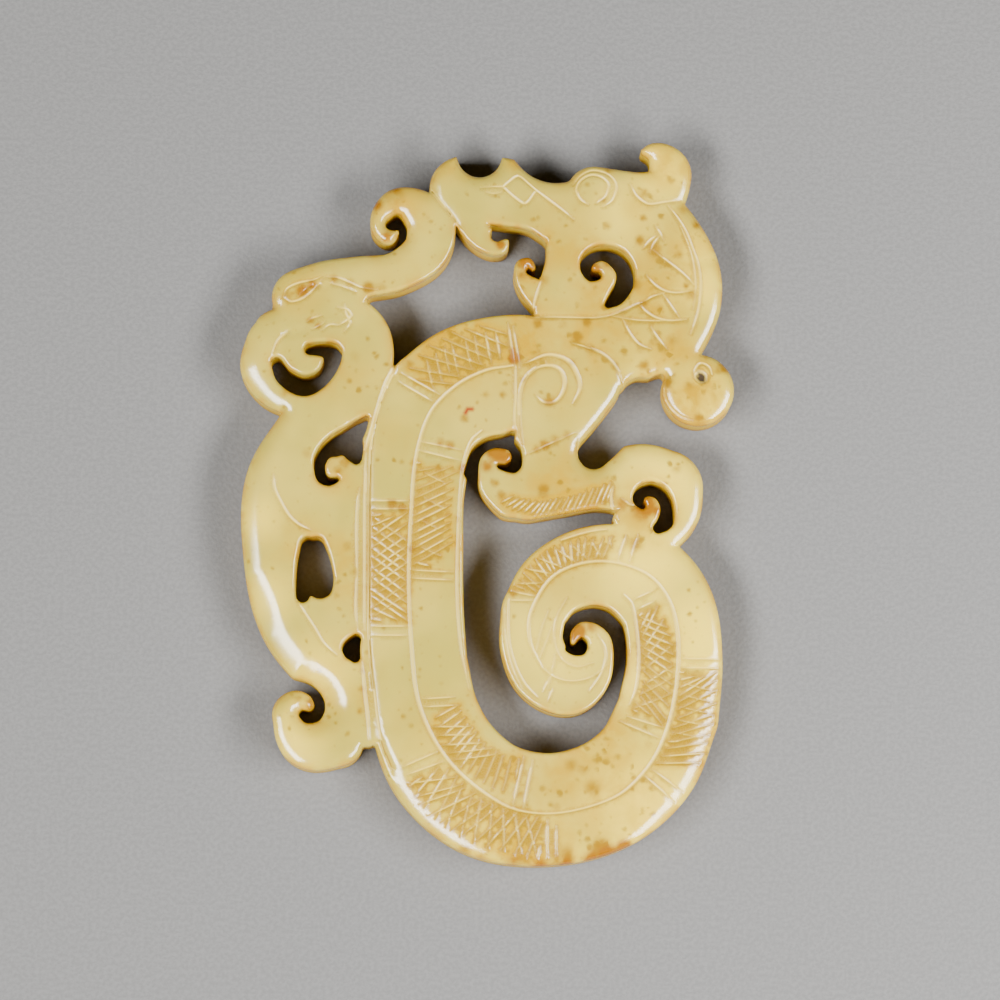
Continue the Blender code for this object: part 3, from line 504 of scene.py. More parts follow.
def smooth_line(stations, spacing):
    """Points with their widths along a smooth curve through the stations."""
    knots = np.array(stations, float)
    if len(knots) == 1:
        return np.vstack([knots, knots])
    chords = np.diff(knots, axis=0)
    lengths = np.linalg.norm(chords[:, :2], axis=1)
    slopes = np.vstack([
        chords[:1] / lengths[0],
        (chords[:-1] + chords[1:]) / (lengths[:-1] + lengths[1:])[:, None],
        chords[-1:] / lengths[-1],
    ])
    line = []
    for start, end, leave, arrive, length in zip(knots[:-1], knots[1:], slopes[:-1], slopes[1:], lengths):
        for share in np.arange(0, 1, spacing / max(length, 2 * spacing)):
            line.append(
                start * (1 + 2 * share) * (1 - share) ** 2
                + leave * length * share * (1 - share) ** 2
                + end * share ** 2 * (3 - 2 * share)
                + arrive * length * share ** 2 * (share - 1)
            )
    line.append(knots[-1])
    return np.array(line)


def beside_line(points, line, reach):
    """The points within reach of a line: which ones, how far from its edge, and on which side (1 right)."""
    span = line[:, 2].max() + reach
    near = np.all((points > line[:, :2].min(0) - span) & (points < line[:, :2].max(0) + span), axis=1)
    close = points[near]
    nearest = np.full(len(close), FAR)
    side = np.zeros(len(close))
    for start, end in zip(line[:-1], line[1:]):
        along = end[:2] - start[:2]
        offset = close - start[:2]
        share = np.clip(offset @ along / max(along @ along, TINY), 0, 1)
        across = np.linalg.norm(offset - share[:, None] * along, axis=1)
        distance = across - start[2] - share * (end[2] - start[2])
        better = distance < nearest
        nearest[better] = distance[better]
        side[better] = np.sign(along[0] * offset[better, 1] - along[1] * offset[better, 0])
    return near, nearest, side


def stroke_distance(points, line):
    """How far every point is from the edge of a stroke, below zero inside it."""
    distance = np.full(len(points), FAR)
    near, nearest, _ = beside_line(points, line, SPAN_REACH)
    distance[near] = nearest
    return distance


def strokes_distance(points, strokes):
    """The least of the distances to a group of strokes."""
    distance = np.full(len(points), FAR)
    for stations in strokes.values():
        distance = np.minimum(distance, stroke_distance(points, smooth_line(stations, SPAN_STEP)))
    return distance


def blend_lower(first, second, fillet):
    """The lower of two distances, with a fillet where they meet."""
    share = np.clip(0.5 + 0.5 * (second - first) / fillet, 0, 1)
    return second * (1 - share) + first * share - fillet * share * (1 - share)


def plan_distance(points):
    """How far every point is from the plaque's outline, below zero in the stone."""
    distance = np.full(len(points), FAR)
    for strokes, is_solid in PLAN_LAYERS:
        layer = strokes_distance(points, strokes)
        if is_solid:
            distance = blend_lower(distance, layer, FILLET)
        else:
            distance = -blend_lower(-distance, layer, FILLET)
    return distance


def slope_of(distance_of, points):
    """The direction in which a distance grows, one unit long."""
    reach = np.array([SLOPE_REACH, 0.0])
    across = distance_of(points + reach) - distance_of(points - reach)
    down = distance_of(points + reach[::-1]) - distance_of(points - reach[::-1])
    slope = np.column_stack([across, down])
    return slope / np.maximum(np.linalg.norm(slope, axis=1), TINY)[:, None]


def outline_loops():
    """Closed loops of points on the outline, found cell by cell on a grid."""
    columns = np.arange(DRAWING_LEFT, DRAWING_RIGHT, SCAN_STEP)
    rows = np.arange(DRAWING_TOP - 2 * SCAN_STEP, DRAWING_BOTTOM + 3 * SCAN_STEP, SCAN_STEP)
    grid = np.stack(np.meshgrid(columns, rows, indexing="ij"), axis=-1)
    depth = plan_distance(grid.reshape(-1, 2)).reshape(grid.shape[:2])
    inside = depth < 0
    corner_count = inside[:-1, :-1] * 1 + inside[1:, :-1] + inside[1:, 1:] + inside[:-1, 1:]
    following = {}
    for column, row in np.argwhere((corner_count > 0) & (corner_count < 4)).tolist():
        corners = [(column, row), (column + 1, row), (column + 1, row + 1), (column, row + 1)]
        sides = list(zip(corners, corners[1:] + corners[:1]))
        leaving = [side for side in sides if inside[side[0]] and not inside[side[1]]]
        entering = [side for side in sides if not inside[side[0]] and inside[side[1]]]
        for out_side, in_side in zip(leaving, entering):
            following[frozenset(out_side)] = frozenset(in_side)
    loops = []
    while following:
        start, side = following.popitem()
        loop = [crossing(start, grid, depth)]
        while side in following:
            loop.append(crossing(side, grid, depth))
            side = following.pop(side)
        loops.append(settle_on_outline(np.array(loop)))
    return [loop for loop in loops if len(loop) >= SHORTEST_LOOP]


def crossing(side, grid, depth):
    """Where the outline crosses one side of a grid cell."""
    first, second = sorted(side)
    share = depth[first] / (depth[first] - depth[second])
    return grid[first] * (1 - share) + grid[second] * share


def settle_on_outline(points):
    """Move points straight towards the outline until they lie on it."""
    for _ in range(SETTLING_ROUNDS):
        move = np.clip(plan_distance(points), -SETTLING_MOVE, SETTLING_MOVE)
        points = points - move[:, None] * slope_of(plan_distance, points)
    return points


def facet_loop(loop):
    """Keep only the points that a loop's shape needs: many on a tight turn, fewer on a long side."""
    ahead = np.roll(loop, -1, axis=0) - loop
    heading = np.unwrap(np.arctan2(ahead[:, 1], ahead[:, 0]))
    turns = np.abs(np.diff(heading, append=heading[-1]))
    lengths = np.linalg.norm(ahead, axis=1)
    kept = [loop[0]]
    turned = 0.0
    gone = 0.0
    for point, turn, length in zip(loop[1:], turns[1:], lengths[:-1]):
        turned += turn
        gone += length
        enough = turned > math.radians(TURN_PER_FACET) and gone > SHORTEST_FACET
        if enough or gone > LONGEST_FACET:
            kept.append(point)
            turned = 0.0
            gone = 0.0
    return np.array(kept)


def nearness(places):
    """A function that gives every point's distance to the nearest of some places."""
    tree = KDTree(len(places))
    for index, (across, down) in enumerate(places):
        tree.insert((across, down, 0), index)
    tree.balance()

    def distance_of(points):
        return np.array([tree.find((across, down, 0))[2] for across, down in points])

    return distance_of


def inset_points(points, inward, inset, distance_of):
    """Points moved inwards from the outline, where the stone is wide enough for them."""
    moved = points + inset * inward
    return moved[distance_of(moved) > RING_SHARE * inset]


def at_share(rail, share):
    """The point at a share of a rail's length."""
    line = np.array(rail, float)
    gone = np.concatenate([[0], np.cumsum(np.linalg.norm(np.diff(line, axis=0), axis=1))])
    at = np.clip(share, 0, 1) * gone[-1]
    return np.array([np.interp(at, gone, line[:, 0]), np.interp(at, gone, line[:, 1])])


def unevenness(seed):
    """A number from minus one to one that looks random and is always the same for a seed."""
    return math.modf(math.sin(seed * SCRAMBLE_STEP + SCRAMBLE_START) * SCRAMBLE_SIZE)[0]


def straight_cut(start, end, half_width):
    """A straight cut that is widest in the middle of its length, as a wheel leaves it."""
    middle = (start + end) / 2
    return np.array([
        (*start, half_width * CUT_TAPER),
        (*(start * (1 - CUT_SHOULDER) + end * CUT_SHOULDER), half_width),
        (*middle, half_width),
        (*(start * CUT_SHOULDER + end * (1 - CUT_SHOULDER)), half_width),
        (*end, half_width * CUT_TAPER),
    ])


def hatch_cuts():
    """Every stroke of every row of hatching."""
    cuts = []
    for row, (start_rail, end_rail, count, lead, (first, last)) in enumerate(HATCHES.values()):
        for index in range(count):
            seed = row * SEEDS_PER_ROW + index
            gap, lean, early, late, width = (unevenness(seed + shift) for shift in DRAW_SHIFTS)
            share = (index + 0.5 + GAP_UNEVENNESS * gap) / count
            start = at_share(start_rail, share)
            end = at_share(end_rail, share + lead + LEAN_UNEVENNESS * lean)
            if not 0 <= share + lead <= 1:
                kept = abs((share if lead < 0 else 1 - share) / lead)
                end = start + (end - start) * min(1, kept)
            way = end - start
            cuts.append(straight_cut(
                start + way * (first + LENGTH_UNEVENNESS * early),
                start + way * (last + LENGTH_UNEVENNESS * late),
                HATCH_HALF_WIDTH * (1 + WIDTH_UNEVENNESS * width),
            ))
    return cuts


def line_cuts():
    """The finely cut lines and the lines that close the panels."""
    cuts = [smooth_line(stations, SPAN_STEP) for stations in FINE_LINES.values()]
    cuts += [straight_cut(np.array(start), np.array(end), END_HALF_WIDTH) for start, end in END_LINES]
    return cuts


def cut_points(cuts):
    """Rows of points along every cut, down its middle and on both of its flanks."""
    found = []
    for cut in cuts:
        line = smooth_line(cut, CUT_SPACING)
        ahead = np.gradient(line[:, :2], axis=0)
        ahead /= np.maximum(np.linalg.norm(ahead, axis=1), TINY)[:, None]
        sideways = np.column_stack([-ahead[:, 1], ahead[:, 0]]) * line[:, 2:3]
        for row in CUT_ROWS:
            found.append(line[:, :2] + sideways * row)
    return np.vstack(found)


def clear_of_edge(points, margin, distance_of):
    """The points that lie in the stone and at least this far from its outline."""
    inside = points[plan_distance(points) < 0]
    return inside[distance_of(inside) > margin]


def fill_points(spacing):
    """Evenly spaced points over the whole drawing, in staggered rows."""
    rows = np.arange(DRAWING_TOP, DRAWING_BOTTOM, spacing * HEX_ROW)
    found = []
    for index, row in enumerate(rows):
        across = np.arange(DRAWING_LEFT + (index % 2) * spacing / 2, DRAWING_RIGHT, spacing)
        found.append(np.column_stack([across, np.full(len(across), row)]))
    return np.vstack(found)


def spread_group(points, gap):
    """The points of one group that aren't too near an earlier one."""
    kept = []
    cells = {}
    for point in points.tolist():
        column, row = int(point[0] // gap), int(point[1] // gap)
        nearby = [
            cells[place]
            for place in ((column + beside, row + above) for beside in (-1, 0, 1) for above in (-1, 0, 1))
            if place in cells
        ]
        if all(math.dist(point, other) >= gap for other in nearby):
            cells[column, row] = point
            kept.append(point)
    return np.array(kept)


def spread_out(groups):
    """Join groups of points, the first ones first, leaving out any that are too near one already kept."""
    kept = np.empty((0, 2))
    for points, gap in groups:
        if len(kept):
            points = points[nearness(kept)(points) >= gap]
        kept = np.vstack([kept, spread_group(points, gap)])
    return kept


def triangulate(loops, inner):
    """Triangles over the stone's plan that follow its outline, as points and rows of indices."""
    outline = np.vstack(loops)
    edges = []
    start = 0
    for loop in loops:
        count = len(loop)
        edges += [(start + index, start + (index + 1) % count) for index in range(count)]
        start += count
    points = np.vstack([outline, inner])
    found = delaunay_2d_cdt([tuple(point) for point in points], edges, [], 0, TINY, False)
    corners = np.array([tuple(corner) for corner in found[0]])
    triangles = np.array(found[2])
    centres = corners[triangles].mean(axis=1)
    return corners, triangles[is_within(loops, centres)]


def is_within(loops, points):
    """Which points lie inside an odd number of the loops."""
    order = np.argsort(points[:, 1])
    heights = points[order, 1]
    lefts = points[order, 0]
    within = np.zeros(len(points), bool)
    for loop in loops:
        for start, end in zip(loop, np.roll(loop, -1, axis=0)):
            low, high = sorted((start[1], end[1]))
            first, last = np.searchsorted(heights, (low, high))
            share = (heights[first:last] - start[1]) / ((end[1] - start[1]) or 1)
            within[first:last] ^= lefts[first:last] < start[0] + (end[0] - start[0]) * share
    found = np.zeros(len(points), bool)
    found[order] = within
    return found


def edge_drop(inset, rounding):
    """How far the rounded edge lies below the flat of a face, at this distance in from the outline."""
    share = np.clip(inset / rounding, 0, 1)
    return rounding * (1 - np.sqrt(1 - (1 - share) ** 2))


def rim_drop(points, inset, sizes, step):
    """How far the front falls away towards the plaque's outer side, in steps."""
    width = np.full(len(points), sizes.rim_width / step)
    for stations, extra in BROAD_SIDES.values():
        beside = stroke_distance(points, smooth_line(stations, SPAN_STEP))
        share = np.clip(1 - beside / BROAD_REACH, 0, 1)
        width += extra * share ** 2 * (3 - 2 * share)
    share = np.clip(inset / width, 0, 1)
    return sizes.rim_slope * width / 2 * (1 - share) ** 2


def cut_drop(points, cuts, slope):
    """How deep the cuts go at every point, in steps."""
    deepest = np.zeros(len(points))
    for cut in cuts:
        near, beside, _ = beside_line(points, cut, CUT_REACH)
        deepest[near] = np.maximum(deepest[near], slope * np.clip(-beside, 0, None))
    return deepest


def side_drop(points, step):
    """How far the one-sided slopes fall at every point, in steps."""
    fallen = np.zeros(len(points))
    for stations, width, depth in SIDE_SLOPES.values():
        line = smooth_line([(across, down, 0) for across, down in stations], SPAN_STEP)
        near, beside, side = beside_line(points, line, width)
        taper = np.clip(1 - beside / width, 0, 1) ** 2 * (side > 0)
        fallen[near] += taper * depth * MM / step
    return fallen


def unevenness_drop(points):
    """The shallow waves that hand polishing leaves, from nought to one."""
    across, down = points.T / WAVE_SIZE
    waves = np.sin(across + 1.3 * np.sin(down * 0.7)) + np.sin(down * 1.2 + np.sin(across * 0.9) + 2)
    return (waves + 2) / 4


def zone_strength(points, zones):
    """The strongest of some round zones at every point, fading out to nought at each one's radius."""
    strength = np.zeros(len(points))
    for across, down, radius, most in zones:
        distance = np.linalg.norm(points - (across, down), axis=1)
        share = np.clip(1 - distance / (radius * ZONE_SPREAD), 0, 1)
        strength = np.maximum(strength, most * share ** 2 * (3 - 2 * share))
    return strength


def panel_strength(points, cuts):
    """One on the hatched panels, fading out just beyond their strokes."""
    strength = np.zeros(len(points))
    for cut in cuts:
        near, beside, _ = beside_line(points, cut * (1, 1, 0), PANEL_REACH)
        strength[near] = np.maximum(strength[near], 1 - np.clip(beside / PANEL_REACH, 0, 1))
    return strength


def cut_nearness(points, cuts):
    """One in the middle of a cut, a half at its edges, and fading out just beyond them."""
    nearest = np.full(len(points), FAR)
    for cut in cuts:
        near, beside, _ = beside_line(points, cut, CUT_REACH)
        nearest[near] = np.minimum(nearest[near], beside)
    return np.clip(0.5 - nearest / (2 * CUT_FADE), 0, 1)


def carve(sizes):
    """The whole plaque as one mesh, fitted into the solid's own box."""
    low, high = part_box(NODE)
    fine_loops = outline_loops()
    loops = [facet_loop(loop) for loop in fine_loops]
    outline = np.vstack(loops)
    width, height = np.ptp(outline, axis=0)
    step = min((high.x - low.x) / width, (high.y - low.y) / height)
    middle = (outline.max(axis=0) + outline.min(axis=0)) / 2
    edge_distance = nearness(np.vstack(fine_loops))
    rim_distance = nearness(max(fine_loops, key=len))
    rounding = sizes.edge_rounding / step
    inward = -slope_of(plan_distance, outline)
    hatching = hatch_cuts()
    cuts = line_cuts() + hatching

    edge_rings = [inset_points(outline, inward, share * rounding, edge_distance) for share in EDGE_RINGS]
    slope_rings = [inset_points(outline, inward, inset, edge_distance) for inset in SLOPE_RINGS]
    front_fill = clear_of_edge(fill_points(FRONT_FILL), rounding, edge_distance)
    back_fill = clear_of_edge(fill_points(BACK_FILL), rounding, edge_distance)
    front = triangulate(loops, spread_out([
        (np.vstack(edge_rings), FINE_GAP * EDGE_MARGIN),
        (clear_of_edge(cut_points(cuts), EDGE_MARGIN, edge_distance), FINE_GAP),
        (np.vstack(slope_rings), RING_GAP),
        (front_fill, FRONT_FILL * FILL_SHARE),
    ]))
    back = triangulate(loops, spread_out([
        (np.vstack(edge_rings[1::2]), FINE_GAP),
        (back_fill, BACK_FILL * FILL_SHARE),
    ]))
    places = front[0]
    inset = edge_distance(places)
    inset[:len(outline)] = 0
    back_inset = edge_distance(back[0])
    back_inset[:len(outline)] = 0
    cut_depth = cut_drop(places, cuts, sizes.cut_slope)
    fallen = (
        edge_drop(inset, rounding)
        + rim_drop(places, rim_distance(places), sizes, step)
        + cut_depth
        + side_drop(places, step)
        + sizes.waviness / step * unevenness_drop(places)
    )
    front_heights = high.z - np.maximum(fallen, 0) * step
    back_heights = low.z + edge_drop(back_inset, rounding) * step
    solid = solid_from_faces(front, back, loops, front_heights, back_heights, middle, step)
    mesh = bpy.data.meshes.new(PIECE)
    solid.to_mesh(mesh)
    solid.free()
    mesh.shade_smooth()
    add_masks(mesh, middle, step, cuts, hatching, edge_distance, high.z)
    return mesh


def solid_from_faces(front, back, loops, front_heights, back_heights, middle, step):
    """One closed mesh: the carved front, the plain back and the side walls in rows between them."""
    solid = bmesh.new()
    sheets = []
    for (points, _), heights in ((front, front_heights), (back, back_heights)):
        sheets.append([
            solid.verts.new(((across - middle[0]) * step, (middle[1] - down) * step, height))
            for (across, down), height in zip(points, heights)
        ])
    top, bottom = sheets
    for corners in front[1]:
        solid.faces.new([top[corner] for corner in corners])
    for corners in back[1]:
        solid.faces.new([bottom[corner] for corner in corners])
    outline_count = sum(len(loop) for loop in loops)
    rows = [top[:outline_count]]
    for row in range(1, WALL_ROWS):
        share = row / WALL_ROWS
        rows.append([
            solid.verts.new(above.co.lerp(below.co, share))
            for above, below in zip(top[:outline_count], bottom)
        ])
    rows.append(bottom[:outline_count])
    start = 0
    for loop in loops:
        around = list(range(start, start + len(loop)))
        for upper, lower in zip(rows[:-1], rows[1:]):
            for here, there in zip(around, around[1:] + around[:1]):
                solid.faces.new([upper[here], upper[there], lower[there], lower[here]])
        start += len(loop)
    bmesh.ops.recalc_face_normals(solid, faces=solid.faces)
    return solid


def add_masks(mesh, middle, step, cuts, hatching, edge_distance, top):
    """Attributes that the jade reads: each says how far every point is cut, hatched, stained and so on."""
    places = np.empty(len(mesh.vertices) * 3)
    mesh.vertices.foreach_get("co", places)
    places = places.reshape(-1, 3)
    points = np.column_stack([places[:, 0] / step + middle[0], middle[1] - places[:, 1] / step])
    inset = edge_distance(points)
    red = smooth_line(RED_MARK, 1)
    pit = smooth_line(BALL_PIT, 1)
    masks = {
        "cut": cut_nearness(points, cuts),
        "panel": panel_strength(points, hatching),
        "warm": zone_strength(points, WARM_ZONES),
        "pale": zone_strength(points, PALE_ZONES),
        "stain": zone_strength(points, STAINS),
        # Rust zones, partly painted shade at the scroll tips
        "rust_and_shade": zone_strength(points, RUST_AND_SHADE_ZONES),
        "edge": np.exp(-inset / EDGE_FADE),
        # Depth below the front, which places the painted shade and glow on the side walls
        "depth": np.clip((top - places[:, 2]) / top, 0, 1),
        "red": np.clip(-stroke_distance(points, red), 0, 1),
        # The ball's pit, which the jade paints dark as shade
        "pit": np.clip(-stroke_distance(points, pit), 0, 1),
    }
    for name, values in masks.items():
        attribute = mesh.attributes.new(name, "FLOAT", "POINT")
        attribute.data.foreach_set("value", values.astype(np.float32))


def add_node(tree, kind, inputs=(), **settings):
    """A node with its settings and inputs; an input is a value or another node's output."""
    node = tree.nodes.new(kind)
    for name, value in settings.items():
        setattr(node, name, value)
    for socket, value in inputs:
        if isinstance(value, bpy.types.NodeSocket):
            tree.links.new(value, node.inputs[socket])
        else:
            node.inputs[socket].default_value = value
    return node


def add_mask(tree, name):
    """One of the mesh's own attributes."""
    return add_node(tree, "ShaderNodeAttribute", attribute_name=name).outputs["Fac"]


def add_noise(tree, scale, detail, distortion):
    """Noise fixed to the stone, with this many waves to the metre."""
    place = add_node(tree, "ShaderNodeTexCoord").outputs["Object"]
    inputs = [("Vector", place), ("Scale", scale), ("Detail", detail), ("Distortion", distortion)]
    return add_node(tree, "ShaderNodeTexNoise", inputs).outputs["Fac"]


def add_sum(tree, first, second):
    """Two values added."""
    return add_node(tree, "ShaderNodeMath", [(0, first), (1, second)], operation="ADD").outputs[0]


def add_product(tree, first, second):
    """Two values multiplied."""
    return add_node(tree, "ShaderNodeMath", [(0, first), (1, second)], operation="MULTIPLY").outputs[0]


def add_dots(tree, density):
    """Small soft dots, more of them and larger ones where the density is greater."""
    place = add_node(tree, "ShaderNodeTexCoord").outputs["Object"]
    cells = add_node(tree, "ShaderNodeTexVoronoi", [("Vector", place), ("Scale", SPECK_SCALE)])
    chance = add_node(tree, "ShaderNodeSeparateColor", [("Color", cells.outputs["Color"])]).outputs["Red"]
    wobble = add_product(tree, add_noise(tree, *SPECK_EDGES), -1.0)
    reach = add_sum(tree, add_product(tree, density, chance), add_sum(tree, wobble, SPECK_SIZE))
    inside = add_sum(tree, reach, add_product(tree, cells.outputs["Distance"], -1.0))
    return add_ramp(tree, inside, *SPECK_RANGE)


def add_ramp(tree, value, low, high, start=0.0, end=1.0):
    """A value stretched smoothly from one range to another."""
    inputs = [("Value", value), ("From Min", low), ("From Max", high), ("To Min", start), ("To Max", end)]
    return add_node(tree, "ShaderNodeMapRange", inputs, interpolation_type="SMOOTHSTEP").outputs["Result"]


def add_mix(tree, share, first, second):
    """A colour part of the way from one to another."""
    node = add_node(tree, "ShaderNodeMix", [("Factor", share)], data_type="RGBA")
    for socket, value in ((node.inputs[6], first), (node.inputs[7], second)):
        if isinstance(value, bpy.types.NodeSocket):
            tree.links.new(value, socket)
        else:
            socket.default_value = (*value, 1.0)
    return node.outputs[2]


def add_bumps(tree, shader, height, strength, distance):
    """Small bumps over a surface: how strongly they show and how high they stand."""
    inputs = [("Height", height), ("Strength", strength), ("Distance", distance)]
    bump = add_node(tree, "ShaderNodeBump", inputs)
    tree.links.new(bump.outputs["Normal"], shader.inputs["Normal"])


def new_material(name):
    """An empty node material with its Principled shader."""
    material = bpy.data.materials.new(name)
    material.use_nodes = True
    tree = material.node_tree
    return material, tree, tree.nodes["Principled BSDF"]


def jade_colour(tree, finish, specks):
    """Pale jade that turns amber in places, with stains, rust and lighter cuts; the rust is partly painted
    shade at the scroll tips, the side walls are painted darker and amber as shade and as a glow of light
    through the stone, and the pit is painted dark as shade.
    """
    patches = add_noise(tree, *PATCHES)
    clouds = add_ramp(tree, add_noise(tree, *CLOUDS), *CLOUD_RANGE)
    warm = add_sum(tree, add_product(tree, add_mask(tree, "warm"), WARM_SHARE),
                   add_product(tree, add_mask(tree, "panel"), PANEL_SHARE))
    warm = add_product(tree, warm, add_ramp(tree, patches, *WARM_PATCHES))
    colour = add_mix(tree, clouds, finish.green, finish.cream)
    colour = add_mix(tree, add_mask(tree, "pale"), colour, finish.pale)
    colour = add_mix(tree, warm, colour, finish.amber)
    colour = add_mix(tree, add_product(tree, specks, SPECK_SHARE), colour, finish.speck)
    cut = add_mask(tree, "cut")
    dirt = add_product(tree, add_ramp(tree, cut, *DIRT_RANGE), add_sum(tree, warm, DIRT_EVERYWHERE))
    colour = add_mix(tree, add_product(tree, dirt, DIRT_SHARE), colour, finish.dirt)
    colour = add_mix(tree, add_ramp(tree, cut, *CUT_RANGE), colour, finish.cut)
    # An orange brown tint along the outline, in patches
    edge = add_product(tree, add_mask(tree, "edge"), add_ramp(tree, patches, *EDGE_TINT_PATCHES))
    colour = add_mix(tree, edge, colour, finish.edge)
    stain = add_product(tree, add_mask(tree, "stain"), add_ramp(tree, patches, *STAIN_PATCHES))
    colour = add_mix(tree, add_ramp(tree, stain, *STAIN_RANGE), colour, finish.stain)
    # Orange rust, partly painted shade at the scroll tips
    rust_and_shade = add_product(tree, add_mask(tree, "rust_and_shade"), add_ramp(tree, patches, *RUST_AND_SHADE_PATCHES))
    colour = add_mix(tree, add_ramp(tree, rust_and_shade, *RUST_AND_SHADE_RANGE), colour, finish.rust_and_shade)
    depth = add_mask(tree, "depth")
    # The side walls: painted shade and a painted amber glow of light coming through the stone
    colour = add_mix(tree, add_ramp(tree, depth, *WALL_SHADE_AND_GLOW_RANGE), colour, finish.wall_shade_and_glow)
    # The walls near the back: a darker painted shade
    colour = add_mix(tree, add_ramp(tree, depth, *FOOT_SHADE_RANGE), colour, finish.foot)
    colour = add_mix(tree, add_mask(tree, "red"), colour, finish.red)
    # The pit is painted near black as shade
    return add_mix(tree, add_mask(tree, "pit"), colour, finish.pit)


def jade_material(finish):
    """Polished translucent jade."""
    material, tree, shader = new_material("jade")
    density = SPECKS_EVERYWHERE
    for mask, share in SPECK_DENSITY.items():
        density = add_sum(tree, density, add_product(tree, add_mask(tree, mask), share))
    clusters = add_ramp(tree, add_noise(tree, *CLUSTERS), *SPECK_CLUSTERS)
    specks = add_dots(tree, add_product(tree, density, clusters))
    tree.links.new(jade_colour(tree, finish, specks), shader.inputs["Base Color"])
    fine = add_noise(tree, *POLISH)
    smoothest, roughest = (finish.roughness * share for share in POLISH_SPREAD)
    roughness = add_ramp(tree, fine, *GRAIN_RANGE, smoothest, roughest)
    dulled = add_sum(tree, roughness, add_product(tree, add_mask(tree, "cut"), CUT_DULLNESS))
    dulled = add_sum(tree, dulled, add_ramp(tree, add_mask(tree, "depth"), *WALL_DULLNESS))
    dulled = add_sum(tree, dulled, add_product(tree, add_mask(tree, "pit"), PIT_DULLNESS))
    tree.links.new(dulled, shader.inputs["Roughness"])
    add_bumps(tree, shader, fine, *POLISH_BUMPS)
    shader.inputs["IOR"].default_value = JADE_IOR
    shader.inputs["Subsurface Weight"].default_value = finish.translucency
    shader.inputs["Subsurface Radius"].default_value = LIGHT_SPREAD
    shader.inputs["Subsurface Scale"].default_value = finish.light_depth
    return material


def floor_material(colour):
    """Plain pale grey card with a faint grain."""
    material, tree, shader = new_material("pale floor")
    grain = add_ramp(tree, add_noise(tree, *FLOOR_GRAIN), *GRAIN_RANGE)
    darker = tuple(channel * FLOOR_SHADE for channel in colour)
    tree.links.new(add_mix(tree, grain, darker, tuple(colour)), shader.inputs["Base Color"])
    shader.inputs["Roughness"].default_value = FLOOR_ROUGHNESS
    add_bumps(tree, shader, grain, *FLOOR_BUMPS)
    return material


def add_object(name, data):
    """A new object in the scene, at the origin."""
    item = bpy.data.objects.new(name, data)
    bpy.context.scene.collection.objects.link(item)
    return item


def make_floor(stage):
    """A wide pale floor just under the plaque."""
    sheet = bmesh.new()
    bmesh.ops.create_grid(sheet, x_segments=1, y_segments=1, size=FLOOR_SIZE)
    bmesh.ops.translate(sheet, verts=sheet.verts, vec=(0, 0, -FLOOR_GAP))
    mesh = bpy.data.meshes.new("floor")
    sheet.to_mesh(mesh)
    sheet.free()
    mesh.materials.append(floor_material(stage.floor_colour))
    floor = add_object("floor", mesh)


def make_soft_light(name, strength, azimuth, tilt, distance, length, height):
    """A long soft light, level along its length, that shines on the origin from one side."""
    lamp = bpy.data.lights.new(name, "AREA")
    lamp.shape = "RECTANGLE"
    lamp.size = length
    lamp.size_y = height
    lamp.energy = strength
    item = add_object(name, lamp)
    turn, lean = math.radians(azimuth), math.radians(tilt)
    towards = Vector((math.sin(turn) * math.sin(lean), math.cos(turn) * math.sin(lean), math.cos(lean)))
    item.location = towards * distance
    item.rotation_euler = towards.to_track_quat("Z", "Y").to_euler()


def make_camera(stage):
    """The camera, nearly overhead, as the photograph was taken."""
    camera = add_object("camera", bpy.data.cameras.new("camera"))
    camera.data.sensor_width = SENSOR_WIDTH
    camera.data.lens = SENSOR_WIDTH * stage.camera_distance / stage.view_width
    south = math.radians(stage.camera_tilt_south)
    west = math.radians(stage.camera_tilt_west)
    back = Vector((-math.tan(west), -math.tan(south), 1)).normalized()
    low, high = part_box(NODE)
    target = Vector((VIEW_MIDDLE_ACROSS * MM, VIEW_MIDDLE_UP * MM, high.z))
    camera.location = target + back * stage.camera_distance
    right = Vector((0, 1, 0)).cross(back).normalized()
    turned = Matrix((right, back.cross(right), back)).transposed()
    camera.rotation_euler = turned.to_euler()
    bpy.context.scene.camera = camera


def make_surroundings(stage):
    """Even, weak light from all round."""
    world = bpy.data.worlds.new("studio")
    world.use_nodes = True
    background = world.node_tree.nodes["Background"]
    background.inputs["Color"].default_value = (*stage.fill_colour, 1.0)
    background.inputs["Strength"].default_value = stage.fill_strength
    bpy.context.scene.world = world


def colour_setting(name, description, default):
    """A colour that a user can change."""
    return FloatVectorProperty(name=name, description=description, subtype="COLOR", default=default)


def length_setting(name, description, default):
    """A length that a user can change, in metres."""
    return FloatProperty(name=name, description=description, default=default, unit="LENGTH")


class PlaqueSizes(bpy.types.PropertyGroup):
    """Sizes of the carving."""

    edge_rounding: length_setting("Edge rounding", "Radius of the rounded edges", 0.42 * MM)
    rim_width: length_setting("Rim width", "Width of the strip that slopes to the outer side", 1.8 * MM)
    rim_slope: FloatProperty(
        name="Rim slope", description="How steeply that strip meets the side", default=0.7)
    cut_slope: FloatProperty(
        name="Cut slope", description="Depth of a cut as a share of its half width", default=0.75)
    waviness: length_setting("Waviness", "Height of the waves left by hand polishing", 0.06 * MM)


